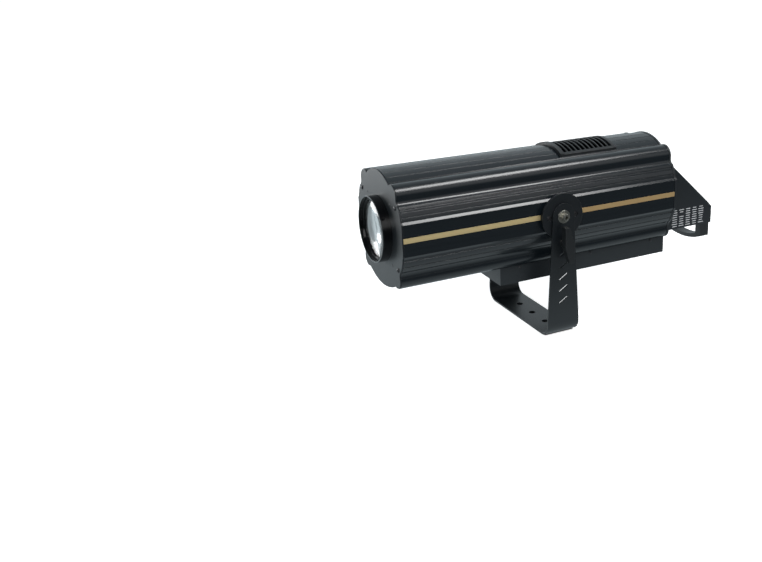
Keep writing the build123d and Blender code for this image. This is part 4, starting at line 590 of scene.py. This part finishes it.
real = place(print_tree, "GeometryNodeRealizeInstances", {"Geometry": bars.outputs[0]}).outputs[0]
stood = place(print_tree, "GeometryNodeTransform", {
    "Geometry": real, "Translation": given["Place"], "Rotation": (pi / 2, 0.0, pi / 2)})
inked = place(print_tree, "GeometryNodeSetMaterial", {"Geometry": stood.outputs[0], "Material": given["Finish"]})
print_tree.links.new(inked.outputs[0], out["Print"])

print_white = solid_finish(
    "print_white", (0.62, 0.63, 0.64), (0.7, 0.7, 0.7), 0.5, PEEL, 0.00001, radius=0.00005)
box_low, box_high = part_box("control_box")
PRINT_BACK, PRINT_UP = 0.063, 0.0215      # middle of the block behind the box's front and above its floor
middle = Vector((box_high.x + INK / 2, box_low.y + PRINT_BACK, box_low.z + PRINT_UP))
carrier = seat_points("print", [(middle, middle, middle, middle)])
grow("rating_print", carrier, print_tree, "housing", None, slot_of["control_box"], Place=middle,
     Finish=print_white)

# %% [markdown]
# ## Floor and room
# A black object is lit by what it mirrors, so the room matters more than the lamps in it. The eye gets a
# white floor and a white room, but what the paint mirrors is a dim one, darker towards +X: a Light Path node
# tells the two kinds of ray apart. Without that, every flank would mirror the white floor and turn grey. A
# floor that glows takes no shadow, so a dark patch under the yoke's foot stands in for the one it would have.

# %% Floor and room
FLOOR_HALF, FLOOR_DROP = 15.0, 0.0004
FLOOR_GLOW, ROOM_GLOW = 0.72, 1.1         # what the camera sees
WHITE, COOL_FLOOR, COOL_ROOM = (1.0, 1.0, 1.0), (0.82, 0.95, 1.0), (0.84, 0.95, 1.0)
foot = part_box("yoke_strap")[1]
PATCH_IN_X, PATCH_IN_Y = 0.013, 0.001     # how far the dark patch stays inside the foot
PATCH_SOFT_X, PATCH_SOFT_Y = 0.004, 0.003
mesh = bpy.data.meshes.new("floor")
corners = [(-FLOOR_HALF, -FLOOR_HALF, 0), (FLOOR_HALF, -FLOOR_HALF, 0), (FLOOR_HALF, FLOOR_HALF, 0),
           (-FLOOR_HALF, FLOOR_HALF, 0)]
mesh.from_pydata(corners, [], [(0, 1, 2, 3)])
floor = bpy.data.objects.new("floor", mesh)
floor.location.z = -FLOOR_DROP
bpy.context.scene.collection.objects.link(floor)
floor_white, tree, shader = new_finish("floor_white")
seen = place(tree, "ShaderNodeLightPath").outputs["Is Camera Ray"]
shader.inputs["Roughness"].default_value = 0.95
shader.inputs["Specular IOR Level"].default_value = 0.0
where = split(tree, place(tree, "ShaderNodeTexCoord").outputs["Object"])
mirrored = remap(tree, where[0], 0.2, 0.55, 0.7, 0.05)
tree.links.new(blend_colours(tree, seen, COOL_FLOOR, WHITE), shader.inputs["Emission Color"])
glow = place(tree, "ShaderNodeMix", {0: seen, 2: mirrored, 3: FLOOR_GLOW}).outputs[0]
patch = ((where[0], foot.x - PATCH_IN_X, PATCH_SOFT_X), (where[1], foot.y - PATCH_IN_Y, PATCH_SOFT_Y))
under = [remap(tree, calculate(tree, "ABSOLUTE", value), half - soft, half, 1.0, 0.0)
         for value, half, soft in patch]
open_floor = calculate(tree, "SUBTRACT", 1.0, calculate(tree, "MULTIPLY", *under))
tree.links.new(calculate(tree, "MULTIPLY", glow, open_floor), shader.inputs["Emission Strength"])
paper = blend_colours(tree, seen, (0.05, 0.05, 0.05), (0.9, 0.9, 0.9))
tree.links.new(blend_colours(tree, open_floor, (0.01, 0.01, 0.01), paper), shader.inputs["Base Color"])
mesh.materials.append(floor_white)

world = bpy.data.worlds.new("room")
bpy.context.scene.world = world
world.use_nodes = True
tree = world.node_tree
seen = place(tree, "ShaderNodeLightPath").outputs["Is Camera Ray"]
sight = split(tree, place(tree, "ShaderNodeTexCoord").outputs["Generated"])
dim = remap(tree, sight[0], -0.6, 0.4, 0.8, 0.12)
background = tree.nodes["Background"]
tree.links.new(blend_colours(tree, seen, COOL_ROOM, WHITE), background.inputs[0])
strength = place(tree, "ShaderNodeMix", {0: seen, 2: dim, 3: ROOM_GLOW}).outputs[0]
tree.links.new(strength, background.inputs[1])
print("floor half width:", FLOOR_HALF, "dark patch half sizes:", patch[0][1], patch[1][1])

# %% [markdown]
# ## Lamps
# Four soft boxes do the rest. One above and behind the flank draws the bright lines along the lobes, and a
# wide dim one below it fills the round between them. A third stands beside the lens, on the picture's side,
# and lifts the yoke and the flat band. A low one on the far side lights the lens and the end plate.

# %% Lamps
def soft_box(name, where, aim, width, height, power):
    """A rectangular soft light that faces a point."""
    data = bpy.data.lights.new(name, "AREA")
    data.shape = "RECTANGLE"
    data.size, data.size_y, data.energy = width, height, power
    light = bpy.data.objects.new(name, data)
    light.location = where
    light.rotation_euler = (Vector(aim) - Vector(where)).to_track_quat("-Z", "Y").to_euler()
    bpy.context.scene.collection.objects.link(light)


soft_box("overhead", (1.0, 0.75, 2.0), (0.08, -0.2, 0.28), 1.1, 0.6, 31)
soft_box("flank", (2.0, 1.0, 1.3), (0.1, 0, 0.28), 1.8, 1.2, 5)
soft_box("side_fill", (2.4, -1.6, 1.6), (0, 0, 0.25), 1.4, 1.4, 50)
soft_box("lens_lift", (-1.5, -1.25, 0.22), (0, -0.3, 0.22), 0.9, 0.4, 8)
bpy.context.scene.view_settings.view_transform = "Standard"
print("soft boxes: 4")
